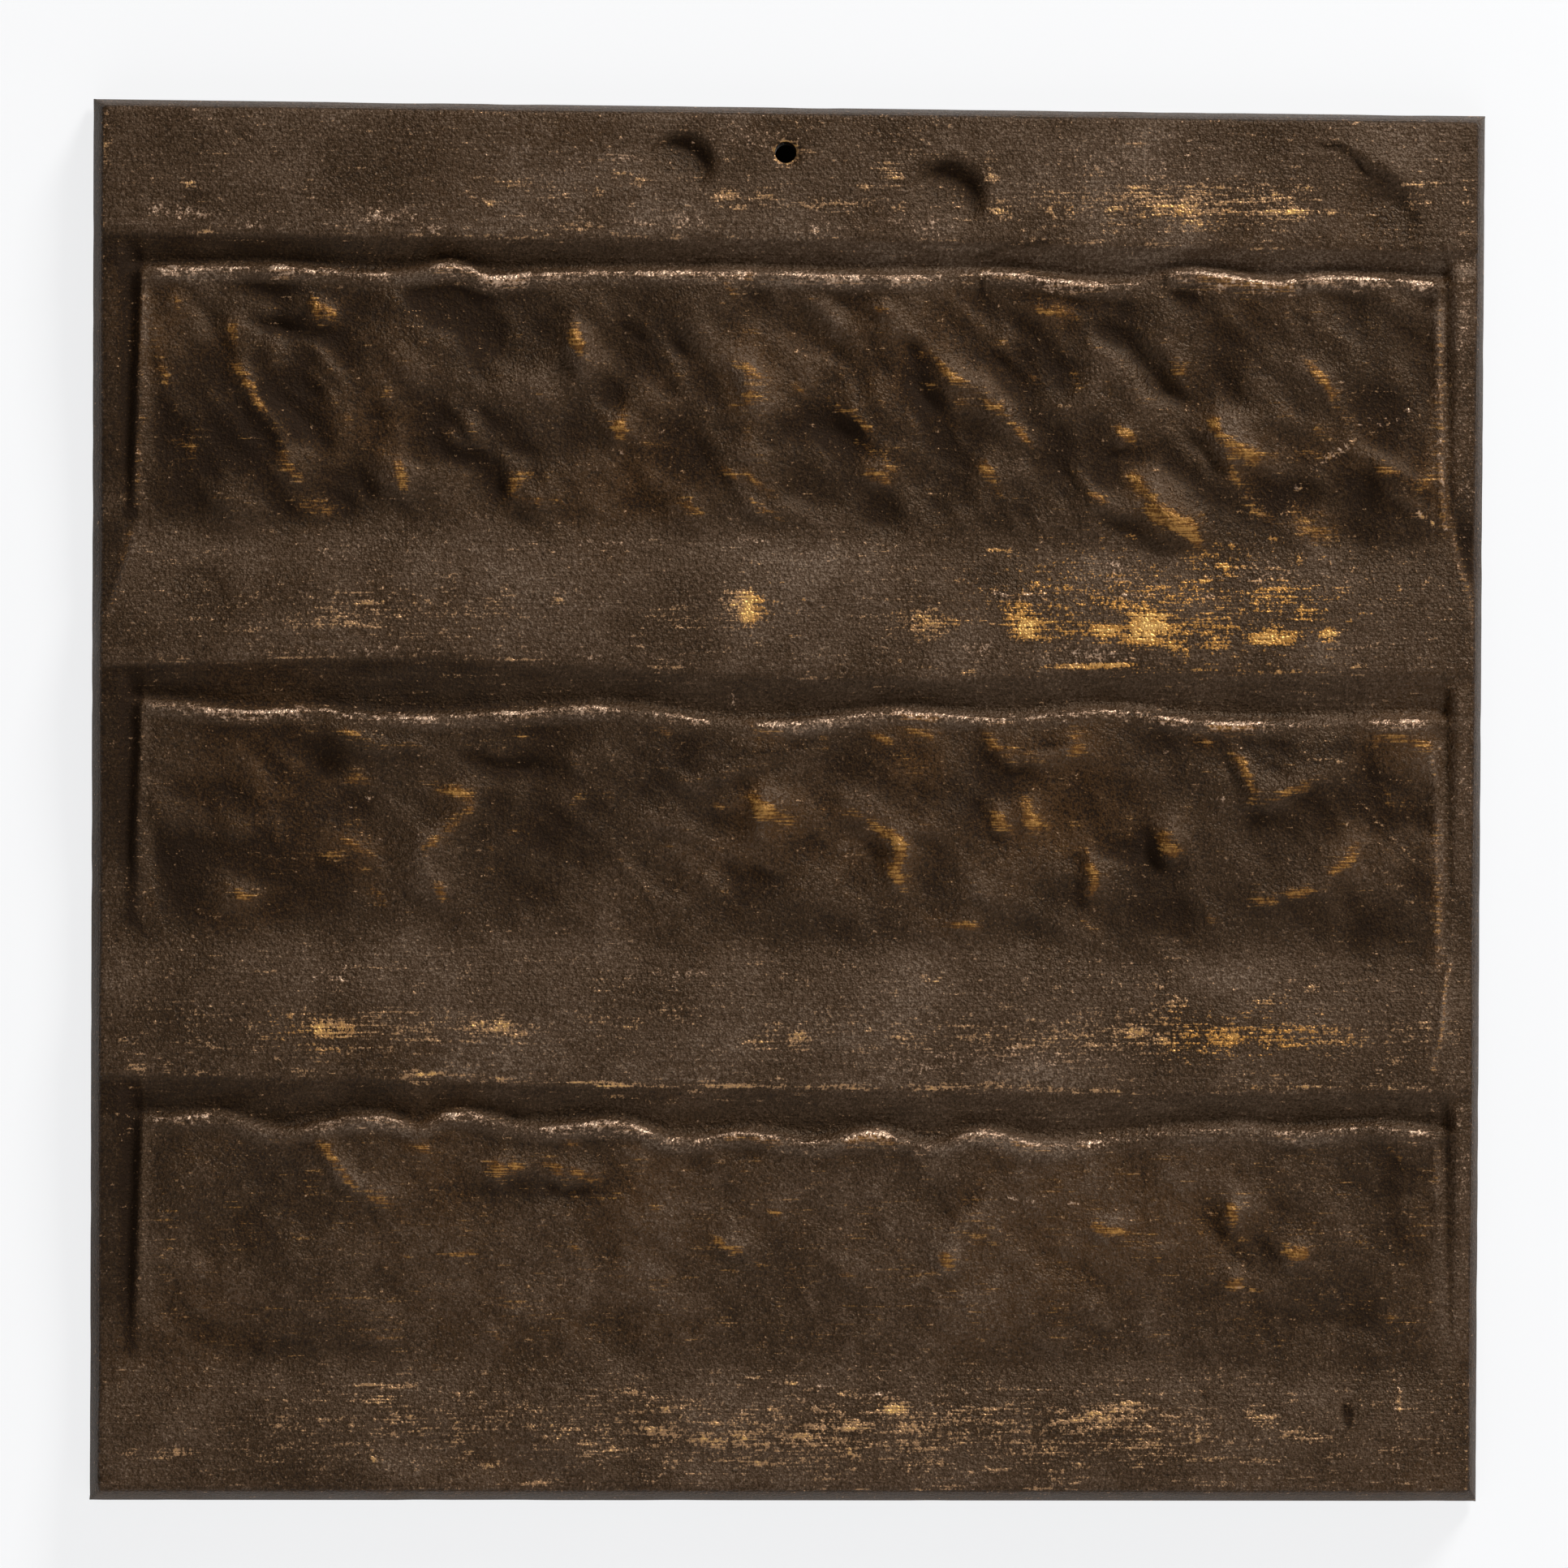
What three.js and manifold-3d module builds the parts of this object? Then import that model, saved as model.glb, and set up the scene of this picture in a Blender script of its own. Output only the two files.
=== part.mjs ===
// A cast bronze relief plaque: one plate with three tiers, each a sunk, crumpled field under a smooth band.
// Millimetres. X runs to the right, Z up, and the relief faces -Y. The flat back lies in the plane y = 0.
import * as THREE from "three";
import { mergeVertices } from "three/addons/utils/BufferGeometryUtils.js";
import Module from "manifold-3d";

// ---- driving dimensions ----

// Outline of the back, which is the widest section. The plate is a little out of square.
const CORNERS = {
  topLeft: [-125.1, 127.1],
  topRight: [126.4, 124.0],
  bottomLeft: [-125.8, -126.1],
  bottomRight: [124.7, -126.3],
};
// How far the front edge stands inside the back edge, on the slanting sides.
const DRAFT = { top: 1.9, bottom: 2.5, left: 2.3, right: 2.0 };

// Heights above the back.
const BAND_TOP = 8.2; // smooth bands where they start, at the top edge or under a crease
const BRINK = 9.2; // lower edge of each band
const VALLEY = 6.0; // foot of the slope under a band
const CREST = 8.3; // rolled upper edge of a field
const FIELD = 7.6; // field just under its rolled edge
const CREASE = 6.5; // lower end of a field
const BAND_LOW = 7.9; // a band where it has risen out of its crease
const STRIP_FOOT = 6.8; // side strips beside the lower end of a field
const STRIP_DROP = 0.9; // how far the side strips fall towards the plate's edge

// Widths down the plate.
const ROLL_UP = 2.0; // from the valley to the crest of the roll
const ROLL_DOWN = 2.8; // from the crest to the field
const LIFT = 13; // from a crease to where the band is smooth

// Across the plate: the inner edge of each side strip, the field's own edge across its groove, how far
// that edge moves out towards the strip by its lower end, and how deep the groove is.
const LEFT = { strip: -119.8, panel: -115.2, narrowing: 2.2, groove: 2.0 };
const RIGHT = { strip: 120.6, panel: 117.4, narrowing: 1.0, groove: 0.5 };

// Down a side groove, as shares of its tier: where it is open, at full depth, and starts to close.
const GROOVE_OPEN = 0.09;
const GROOVE_FULL = 0.3;
const GROOVE_CLOSING = 0.78;
const GROOVE_START_DEPTH = 0.3; // share of the full depth at the upper end
const GROOVE_END_DEPTH = 0.5; // and at the lower end

const GROOVE_SHARES = [0, 0.25, 0.5, 0.75, 1]; // columns across a groove, from the strip to the panel

const HOLE = { x: 0, z: 116.7, radius: 1.95, sides: 24 };

// The three tiers, from the top. Each line runs across the plate as [x, z] points.
const TIERS = [
  {
    brink: [[-120, 102.8], [-60, 101.6], [20, 101], [60, 100], [120, 99]],
    crest: [[-113, 95.2], [-93, 95.6], [-66, 94.9], [-61, 96], [-53, 93.9], [-46, 94.3], [-12, 94.6],
      [28, 94.1], [36, 94.5], [64, 93], [69, 94.3], [90, 93], [95, 93.6], [117, 92.7]],
    crease: [[-120, 49.6], [-40, 49.9], [20, 48.2], [70, 46], [120, 46]],
    fade: 0,
  },
  {
    brink: [[-120, 25], [-75, 26.2], [0, 23], [30, 22.2], [50, 23.4], [120, 23.2]],
    crest: [[-113, 17.3], [-95, 15.8], [-86, 16.2], [-73, 14.9], [-50, 15.6], [-31, 16.5], [-10, 13.7],
      [6, 14.1], [16, 15.5], [40, 14.5], [60, 15.8], [74, 14], [95, 13.8], [117, 14.2]],
    crease: [[-120, -23], [-40, -24], [40, -26], [120, -28]],
    fade: 6,
  },
  {
    brink: [[-120, -48.6], [-60, -49.8], [0, -51], [60, -52], [120, -51.8]],
    crest: [[-113, -57.2], [-101, -57], [-93, -59.3], [-71, -57.4], [-66, -59], [-62, -57.1], [-46, -59],
      [-28, -58.5], [-21, -60.9], [-6, -59.9], [5, -61.6], [15, -59.8], [28, -62], [33, -60.1],
      [46, -61.8], [74, -59.4], [80, -59], [88, -59.8], [108, -59], [117, -60]],
    crease: [[-120, -100], [-40, -100.5], [60, -101], [120, -101.5]],
    fade: 1,
  },
];

// On the first tier the side strips run on below the field, and the band's ends are cut back on a slant.
const BAND_ENDS = [
  { side: -1, from: [-116.2, 50.8], to: [-122.4, 31], step: 1.5 },
  { side: 1, from: [119.2, 50.8], to: [123.6, 33], step: 1.2 },
];

// Folds: crests of crumpled metal. The steep flank lies on the lower left, the gentle one on the upper right.
// A negative rise is a furrow.
const fold = (rise, steep, gentle, path) => ({ rise, steep, gentle, path });
const FOLDS = [
  // first field
  fold(1.8, 1.5, 4, [[-99.8, 84.4], [-96.6, 74.8], [-91.4, 64.7], [-88.5, 57.9], [-82, 53.5]]),
  fold(1.3, 1.4, 2.4, [[-86.9, 79.6], [-77.3, 68]]),
  fold(1.6, 1.2, 4, [[-60, 71], [-59.2, 64.4], [-51.6, 63.9], [-50.4, 57]]),
  fold(1.4, 2.4, 3.2, [[-53.2, 78.8], [-41, 70.8]]),
  fold(2, 1.6, 4.8, [[-37.5, 89.6], [-38, 76]]),
  fold(-1.3, 1.6, 1.8, [[-29.1, 84.5], [-29.8, 73]]),
  fold(1.4, 2.4, 4, [[-6.5, 84.4], [-7.5, 64.3]]),
  fold(1.6, 1.8, 2.4, [[-11.4, 59.5], [-2.5, 51]]),
  fold(1.5, 1.8, 3.2, [[8.5, 72.4], [19, 62.7]]),
  fold(2.1, 1.8, 4.8, [[16, 90], [29.4, 78], [38.2, 70.8], [43.8, 65.2]]),
  fold(-1.4, 4, 3.2, [[22, 76], [36, 63]]),
  fold(1.6, 1.5, 4, [[50.3, 61.9], [58.3, 52.3]]),
  fold(1.3, 2.4, 2.4, [[53, 84], [66, 72]]),
  fold(-1.5, 2.2, 2, [[57.5, 85.2], [75.2, 69.2]]),
  fold(2, 2, 3.2, [[62.3, 57.9], [72.8, 46.5]]),
  fold(1.6, 1.8, 4, [[77.6, 67.6], [81.6, 57.1]]),
  fold(1.9, 1.6, 4, [[101.7, 60.3], [110.6, 57.9], [115.5, 52]]),
  // second field
  fold(1.3, 1.2, 2.4, [[-87.7, 13.5], [-65.2, 10.5], [-60.4, 10.9]]),
  fold(1.4, 2.2, 3.2, [[-54.8, 1.3], [-64.4, -8.4], [-62, -16.4]]),
  fold(2.1, 1.3, 3.2, [[-28.3, 13.3], [-20.2, 5.3], [-13.8, 5.3], [4.5, 9.3]]),
  fold(1.5, 1.8, 3.2, [[16.5, -4.3], [21.8, -8], [20.5, -14]]),
  fold(1.1, 2.6, 2.4, [[28.6, -10], [39.8, -20.4]]),
  fold(1.6, 1.3, 3.2, [[80.8, 10], [84.5, -0.5], [93.7, 3.7], [101, 6.5]]),
  fold(1.4, 1.8, 4, [[103.3, -7.6], [98.5, -12], [93.7, -16], [84, -18]]),
  // third field
  fold(1.2, 1.6, 3.2, [[-82.9, -61.8], [-78.9, -67.4], [-70, -72.2]]),
  fold(1.3, 2.2, 4, [[-13, -78.6], [-2.6, -84.3]]),
  fold(0.9, 1.4, 3.2, [[35.8, -69.8], [29.5, -80.3]]),
  // bands
  fold(1.5, 0.8, 4, [[97, 117.8], [105.3, 114.1], [114, 110.2]]),
  fold(-1.2, 4, 3.2, [[-73, -113], [-40, -122]]),
];

// Lumps and hollows: [x, z, half width, half height, rise].
const LUMPS = [
  // first field
  [-98, 57.5, 6, 4, 1.2], [-84, 88.2, 3, 2.5, 1.3], [-72, 80, 12, 8, 0.9], [-65, 60, 9, 5, 1.1],
  [-29.5, 68, 3, 3, 1.6], [6, 67.5, 8, 5, -1.5], [35.4, 58.5, 3, 3, 1.3], [95, 66, 8, 6, 0.9],
  // second field
  [-106, -9, 6, 4, -1], [-98, -16.5, 5, 3, 1.1], [-83.5, 7, 4, 3.5, -1.2], [-47, 6.5, 5, 3, -1.3],
  [-3.8, -1.5, 3.2, 3, 1.9], [41.4, -3, 6, 3, 1.5], [68, -6.8, 3.2, 3.2, 1.9], [110.5, 6.9, 5, 6, 1.6],
  // third field
  [-85, -87, 14, 8, 0.8], [-48, -70.5, 8, 3, -0.9], [-31, -93, 6, 3.5, -0.9], [45, -88, 18, 8, 0.9],
  [58.3, -77, 4.5, 2.4, 1], [80, -73.5, 2.8, 2.6, 1.4], [91.5, -81, 3.2, 2.4, 1.3], [96, -93, 12, 4, -1.1],
];

// Thumb dents in the bands: [x, z, radius, depth]. Each is deepest under its upper right rim.
const DENTS = [
  [29, 108.3, 7, 2.3], [-19, 114.2, 6.2, 2.2], [106.5, 103.6, 7.2, 1.0], [-106, 36, 6.8, 0.7],
];

// Grid of the front face.
const COLUMN_STEP = 4.7;
const ON_STRIP = 1.2; // a column this far from a groove on its strip
const ON_FIELD = 1.8; // and one this far from it in the field
const ROWS = { top: 5, slope: 3, rollUp: 2, rollDown: 2, field: 10, band: 5, bottom: 5 };

// ---- small maths ----

const clamp01 = (t) => Math.min(1, Math.max(0, t));
const mix = (a, b, t) => a + (b - a) * t;

function smoothstep(from, to, value) {
  const t = clamp01((value - from) / (to - from));
  return t * t * (3 - 2 * t);
}

// 0 below zero and t above it, rounded over k each way.
function bend(t, k) {
  if (t > k) return t;
  if (t < -k) return 0;
  return (t + k) ** 2 / (4 * k);
}

// 0 to 1 between from and to in a straight line, with its two corners rounded over the share k.
function ramp(from, to, value, k) {
  const t = (value - from) / (to - from);
  return bend(t, k) - bend(t - 1, k);
}

// Height of a smooth curve through a line's [x, z] points.
function along(line, x) {
  const last = line.length - 1;
  if (x <= line[0][0]) return line[0][1];
  if (x >= line[last][0]) return line[last][1];
  const i = line.findIndex(([px]) => px > x) - 1;
  const slope = (k) => {
    const [ax, az] = line[Math.max(0, k - 1)];
    const [bx, bz] = line[Math.min(last, k + 1)];
    return (bz - az) / (bx - ax);
  };
  const gap = line[i + 1][0] - line[i][0];
  const t = (x - line[i][0]) / gap;
  const start = line[i][1] * (1 + 2 * t) * (1 - t) ** 2 + gap * slope(i) * t * (1 - t) ** 2;
  const finish = line[i + 1][1] * t * t * (3 - 2 * t) + gap * slope(i + 1) * t * t * (t - 1);
  return start + finish;
}

// ---- height of the front face ----

// The lines of tier i at x, with the foot of its slope and the lower end of its band.
function tierLines(i, x) {
  const brink = along(TIERS[i].brink, x);
  const crest = along(TIERS[i].crest, x);
  const crease = along(TIERS[i].crease, x);
  const next = TIERS[i + 1];
  const end = next ? along(next.brink, x) : mix(CORNERS.bottomLeft[1], CORNERS.bottomRight[1], 0.5);
  return { brink, valley: crest + ROLL_UP, crest, crease, end };
}

// Smooth bands, slopes, rolled edges and plain fields, without their folds.
function tierProfile(x, z) {
  const topZ = mix(CORNERS.topLeft[1], CORNERS.topRight[1], (x - CORNERS.topLeft[0]) / 250);
  let height = mix(BAND_TOP, BRINK, ramp(topZ, along(TIERS[0].brink, x), z, 0.05));
  TIERS.forEach((tier, i) => {
    const { brink, valley, crest, crease, end } = tierLines(i, x);
    height += (VALLEY - BRINK) * ramp(brink, valley, z, 0.12);
    height += (CREST - VALLEY) * smoothstep(valley, crest, z);
    height += (FIELD - CREST) * smoothstep(crest, crest - ROLL_DOWN, z);
    height += (CREASE - FIELD) * ramp(crest, crease, z, 0.06);
    height += (BAND_LOW - CREASE) * smoothstep(crease, crease - LIFT, z);
    height += (BRINK - BAND_LOW) * ramp(crease, end, z, 0.06);
  });
  return height;
}

// How far down the side of its tier's field z lies: 0 at the brink, 1 at the lower end, null beside no field.
function besideField(x, z) {
  for (let i = 0; i < TIERS.length; i++) {
    const { brink, crease } = tierLines(i, x);
    const foot = crease + TIERS[i].fade;
    if (z <= brink && z >= foot) return (brink - z) / (brink - foot);
  }
  return null;
}

// The side strips and the grooves that part them from the fields.
function withSides(x, z, inner) {
  const { strip, panel, narrowing, groove } = x < 0 ? LEFT : RIGHT;
  const out = x < 0 ? -1 : 1;
  const down = besideField(x, z);
  const fall = STRIP_DROP * clamp01((out * (x - strip)) / 4);
  if (down === null) return inner - fall * 0.5;
  const open = smoothstep(0, GROOVE_OPEN, down) * (1 - smoothstep(GROOVE_CLOSING, 1, down));
  const edge = panel + out * narrowing * down;
  const across = clamp01((x - edge) / (strip - edge));
  const deepening = mix(GROOVE_START_DEPTH, 1, smoothstep(0, GROOVE_FULL, down));
  const depth = groove * deepening * mix(1, GROOVE_END_DEPTH, down) * (1 - (2 * across - 1) ** 2) ** 1.5;
  const stripHeight = mix(BRINK, STRIP_FOOT, smoothstep(0, 0.9, down));
  const height = mix(inner, stripHeight, smoothstep(0, 1, across)) - depth;
  return mix(inner, height, open) - fall * mix(0.5, 1, open);
}

// The step at the slanting ends of the first band.
function bandEndStep(x, z) {
  let drop = 0;
  for (const { side, from, to, step } of BAND_ENDS) {
    const t = (from[1] - z) / (from[1] - to[1]);
    const edge = mix(from[0], to[0], t);
    const strength = smoothstep(0, 0.3, t) * (1 - smoothstep(0.5, 1, t));
    drop += step * strength * smoothstep(-0.3, 1.2, side * (x - edge));
  }
  return drop;
}

// A fold's rounded path, and the side of it that counts as upper right.
function layFold({ rise, steep, gentle, path }) {
  const corners = path.map(([px, pz]) => new THREE.Vector2(px, pz));
  const points = new THREE.SplineCurve(corners).getPoints(4 * (path.length - 1));
  const whole = points.at(-1).clone().sub(points[0]);
  const litSide = whole.x - 0.6 * whole.y > 0 ? 1 : -1;
  return { rise, steep, gentle, points, litSide };
}

// 1 along the fold, falling fast on its steep flank and slowly on its gentle one, and lower towards its ends.
function foldShape({ steep, gentle, points, litSide }, x, z) {
  const last = points.length - 2;
  let best = { distance: Infinity };
  for (let i = 0; i <= last; i++) {
    const from = points[i];
    const along = points[i + 1].clone().sub(from);
    const length = along.length();
    const raw = ((x - from.x) * along.x + (z - from.y) * along.y) / length;
    const across = (((z - from.y) * along.x - (x - from.x) * along.y) / length) * litSide;
    const t = Math.min(length, Math.max(0, raw));
    const distance = Math.hypot(across, raw - t);
    if (distance >= best.distance) continue;
    const past = (i === 0 && raw < 0) || (i === last && raw > length) ? Math.abs(raw - t) : 0;
    const reach = past > 0 ? across : Math.sign(across) * distance;
    best = { distance, past, reach, share: (i + t / length) / (last + 1) };
  }
  const width = best.reach < 0 ? steep : gentle;
  const rounding = 0.8;
  const flank = (Math.hypot(best.reach, rounding) - rounding) / width;
  const taper = 0.4 + 0.6 * Math.sin(Math.PI * best.share);
  return taper * Math.exp(-flank - (best.past / 2.5) ** 2);
}

const laidFolds = FOLDS.map(layFold);

function foldHeight(x, z) {
  let height = 0;
  for (const laid of laidFolds) height += laid.rise * foldShape(laid, x, z);
  for (const [cx, cz, halfX, halfZ, rise] of LUMPS) {
    height += rise * Math.exp(-(((x - cx) / halfX) ** 2) - ((z - cz) / halfZ) ** 2);
  }
  return height;
}

function dentDepth(x, z) {
  let depth = 0;
  for (const [cx, cz, radius, deep] of DENTS) {
    const across = (x - cx) / radius;
    const up = (z - cz) / radius;
    const inside = 1 - smoothstep(0.72, 1.08, Math.hypot(across, up));
    depth += deep * inside * clamp01(0.45 + 0.3 * across + 0.65 * up);
  }
  return depth;
}

function frontHeight(x, z) {
  const fromLeft = smoothstep(LEFT.panel - 0.5, LEFT.panel + 2, x);
  const fromRight = smoothstep(RIGHT.panel + 0.5, RIGHT.panel - 2, x);
  const inner = tierProfile(x, z) + foldHeight(x, z) * fromLeft * fromRight - dentDepth(x, z);
  return withSides(x, z, inner) - bandEndStep(x, z);
}

// ---- mesh ----

// Columns stand closer together at the side strips and grooves.
function columnPositions() {
  const across = ({ strip, panel }, out) => {
    const groove = GROOVE_SHARES.map((share) => mix(strip, panel, share));
    return [strip + ON_STRIP * out, ...groove, panel - ON_FIELD * out];
  };
  const left = across(LEFT, -1);
  const right = across(RIGHT, 1).reverse();
  const start = left.at(-1);
  const span = right[0] - start;
  const count = Math.round(span / COLUMN_STEP);
  const middle = Array.from({ length: count - 1 }, (_, i) => start + (span * (i + 1)) / count);
  return ["left", ...left, ...middle, ...right, "right"];
}

// Rows follow the tiers' lines, so that every brink, valley and crest has a row of its own.
function rowPositions(x, topZ, bottomZ) {
  const rows = [topZ];
  const step = (to, count) => {
    const from = rows.at(-1);
    for (let i = 1; i <= count; i++) rows.push(mix(from, to, i / count));
  };
  TIERS.forEach((tier, i) => {
    const crest = along(tier.crest, x);
    step(along(tier.brink, x), i ? ROWS.band : ROWS.top);
    step(crest + ROLL_UP, ROWS.slope);
    step(crest, ROWS.rollUp);
    step(crest - ROLL_DOWN, ROWS.rollDown);
    step(along(tier.crease, x), ROWS.field);
  });
  step(bottomZ, ROWS.bottom);
  return rows;
}

// The front face's corners, which stand inside the back's by the draft.
function frontEdges() {
  const { topLeft, topRight, bottomLeft, bottomRight } = CORNERS;
  const leftAt = (z) => mix(bottomLeft[0], topLeft[0], clamp01((z + 125) / 250)) + DRAFT.left;
  const rightAt = (z) => mix(bottomRight[0], topRight[0], clamp01((z + 125) / 250)) - DRAFT.right;
  const topAt = (x) => mix(topLeft[1], topRight[1], clamp01((x + 125) / 250)) - DRAFT.top;
  const bottomAt = (x) => mix(bottomLeft[1], bottomRight[1], clamp01((x + 125) / 250)) + DRAFT.bottom;
  return { leftAt, rightAt, topAt, bottomAt };
}

function plateGeometry() {
  const edges = frontEdges();
  const points = [];
  const grid = columnPositions().map((column) => {
    const guess = column === "left" ? -124 : column === "right" ? 124 : column;
    return rowPositions(guess, edges.topAt(guess), edges.bottomAt(guess)).map((z) => {
      const x = column === "left" ? edges.leftAt(z) : column === "right" ? edges.rightAt(z) : column;
      points.push([x, -frontHeight(x, z), z]);
      return points.length - 1;
    });
  });
  const columns = grid.length;
  const rows = grid[0].length;
  const faces = [];
  const quad = (a, b, c, d) => faces.push([a, b, c], [a, c, d]);
  for (let i = 0; i < columns - 1; i++) {
    for (let j = 0; j < rows - 1; j++) {
      quad(grid[i][j], grid[i][j + 1], grid[i + 1][j + 1], grid[i + 1][j]);
    }
  }

  // The border of the front, anticlockwise seen from the front, and its image on the back's outline.
  const { topLeft, topRight, bottomLeft, bottomRight } = CORNERS;
  const border = [];
  const sideOf = (list, from, to) => {
    list.slice(0, -1).forEach((index, k) => {
      const t = k / (list.length - 1);
      points.push([mix(from[0], to[0], t), 0, mix(from[1], to[1], t)]);
      border.push([index, points.length - 1]);
    });
  };
  sideOf(grid[0], topLeft, bottomLeft);
  sideOf(grid.map((column) => column[rows - 1]), bottomLeft, bottomRight);
  sideOf([...grid[columns - 1]].reverse(), bottomRight, topRight);
  sideOf(grid.map((column) => column[0]).reverse(), topRight, topLeft);

  points.push([0, 0, 0]);
  const centre = points.length - 1;
  border.forEach(([front, back], k) => {
    const [nextFront, nextBack] = border[(k + 1) % border.length];
    quad(front, back, nextBack, nextFront);
    faces.push([back, centre, nextBack]);
  });

  const geometry = new THREE.BufferGeometry();
  geometry.setAttribute("position", new THREE.Float32BufferAttribute(points.flat(), 3));
  geometry.setIndex(faces.flat());
  return geometry;
}

function holeGeometry() {
  const cutter = new THREE.CylinderGeometry(HOLE.radius, HOLE.radius, 3 * BRINK, HOLE.sides);
  return cutter.translate(HOLE.x, 0, HOLE.z);
}

// ---- cutting the hanging hole ----

const wasm = await Module();
wasm.setup();

function toSolid(geometry) {
  const bare = geometry.clone();
  bare.deleteAttribute("normal");
  bare.deleteAttribute("uv");
  const merged = mergeVertices(bare, 1e-4);
  return new wasm.Manifold(
    new wasm.Mesh({
      numProp: 3,
      vertProperties: merged.attributes.position.array,
      triVerts: new Uint32Array(merged.index.array),
    }),
  );
}

function toGeometry(solid) {
  const { numProp, numVert, vertProperties, triVerts } = solid.getMesh();
  const positions = new Float32Array(numVert * 3);
  for (let i = 0; i < numVert; i++) {
    positions.set(vertProperties.subarray(i * numProp, i * numProp + 3), i * 3);
  }
  const geometry = new THREE.BufferGeometry();
  geometry.setAttribute("position", new THREE.BufferAttribute(positions, 3));
  geometry.setIndex(new THREE.BufferAttribute(triVerts, 1));
  geometry.computeVertexNormals();
  return geometry;
}

// ---- the object ----

const bronze = new THREE.MeshStandardMaterial({ color: 0x4b3c30, metalness: 0.6, roughness: 0.55 });

function reliefPlate() {
  const drilled = toSolid(plateGeometry()).subtract(toSolid(holeGeometry()));
  const plate = new THREE.Mesh(toGeometry(drilled), bronze);
  plate.name = "relief_plate";
  return plate;
}

const plaque = new THREE.Group();
plaque.add(reliefPlate());

export default plaque;
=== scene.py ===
"""A cast bronze relief plaque on a white wall.

The relief is one mesh whose front is a height field: the same tiers, folds and dents as the CAD solid, with
the finer ones and the casting's unevenness added. Sizes are in millimetres, X to the right and Z up on the
plate's face. In the lists a path is x, z, x, z and so on.
"""
import functools
import math
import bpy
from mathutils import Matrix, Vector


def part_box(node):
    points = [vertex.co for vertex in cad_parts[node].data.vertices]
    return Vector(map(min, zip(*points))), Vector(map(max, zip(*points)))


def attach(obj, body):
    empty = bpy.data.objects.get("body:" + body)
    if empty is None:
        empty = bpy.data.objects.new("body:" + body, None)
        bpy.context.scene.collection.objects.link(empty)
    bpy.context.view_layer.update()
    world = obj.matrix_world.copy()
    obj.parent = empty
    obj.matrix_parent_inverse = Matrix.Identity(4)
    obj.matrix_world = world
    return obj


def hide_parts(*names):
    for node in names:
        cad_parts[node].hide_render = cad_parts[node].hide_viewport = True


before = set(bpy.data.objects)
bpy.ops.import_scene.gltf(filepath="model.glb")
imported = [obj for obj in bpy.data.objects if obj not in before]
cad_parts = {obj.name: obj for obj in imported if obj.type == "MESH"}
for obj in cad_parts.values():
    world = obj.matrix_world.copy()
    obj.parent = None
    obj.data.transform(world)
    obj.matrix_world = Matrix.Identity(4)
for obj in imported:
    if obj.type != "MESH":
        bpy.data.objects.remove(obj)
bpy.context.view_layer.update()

from types import SimpleNamespace

import bpy
import numpy as np
from mathutils import Vector
from mathutils.geometry import tessellate_polygon

MM = 0.001


# ---- the plate's sizes, as in the CAD source ----

TOP_LEFT, TOP_RIGHT = (-125.1, 127.1), (126.4, 124.0)
BOTTOM_LEFT, BOTTOM_RIGHT = (-125.8, -126.1), (124.7, -126.3)
DRAFT = {"top": 1.9, "bottom": 2.5, "left": 2.3, "right": 2.0}

# Heights above the back.
BAND_TOP, BRINK, VALLEY, CREST, FIELD, CREASE = 8.2, 9.2, 6.0, 8.3, 7.6, 6.5
BAND_LOW, STRIP_FOOT, STRIP_DROP = 7.9, 6.8, 0.9

# Widths down the plate: up and down the rolled edge, and out of a crease.
ROLL_UP, ROLL_DOWN, LIFT = 2.0, 2.8, 13.0

# Across the plate: the inner edge of each side strip, the field's own edge across the groove from it, how
# far that edge moves out towards the strip by its lower end, and how deep the groove is.
LEFT = {"side": -1, "strip": -119.8, "panel": -115.2, "narrowing": 2.2, "groove": 2.0}
RIGHT = {"side": 1, "strip": 120.6, "panel": 117.4, "narrowing": 1.0, "groove": 0.5}

# Down a side groove, as shares of its tier: where it is open, at full depth, and starts to close.
GROOVE_OPEN, GROOVE_FULL, GROOVE_CLOSING = 0.09, 0.3, 0.78
GROOVE_START_DEPTH, GROOVE_END_DEPTH = 0.3, 0.5  # shares of the full depth at its two ends

HOLE = {"x": 0.0, "z": 116.7, "radius": 1.95}

SPAN = 250  # between the plate's corners, near enough for the slant of its edges
LAST_END = -125.3  # where the last tier ends
STRIP_WIDTH = 4  # of a side strip, from its inner edge to the lowest part
VALLEY_FLAT = 0.4  # between the slope's foot and the rolled edge above it

# How far a profile's corners are rounded, as shares of the stretch between them.
SOFT_BEND, SLIGHT_BEND, TOP_BEND = 0.12, 0.06, 0.05

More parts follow.
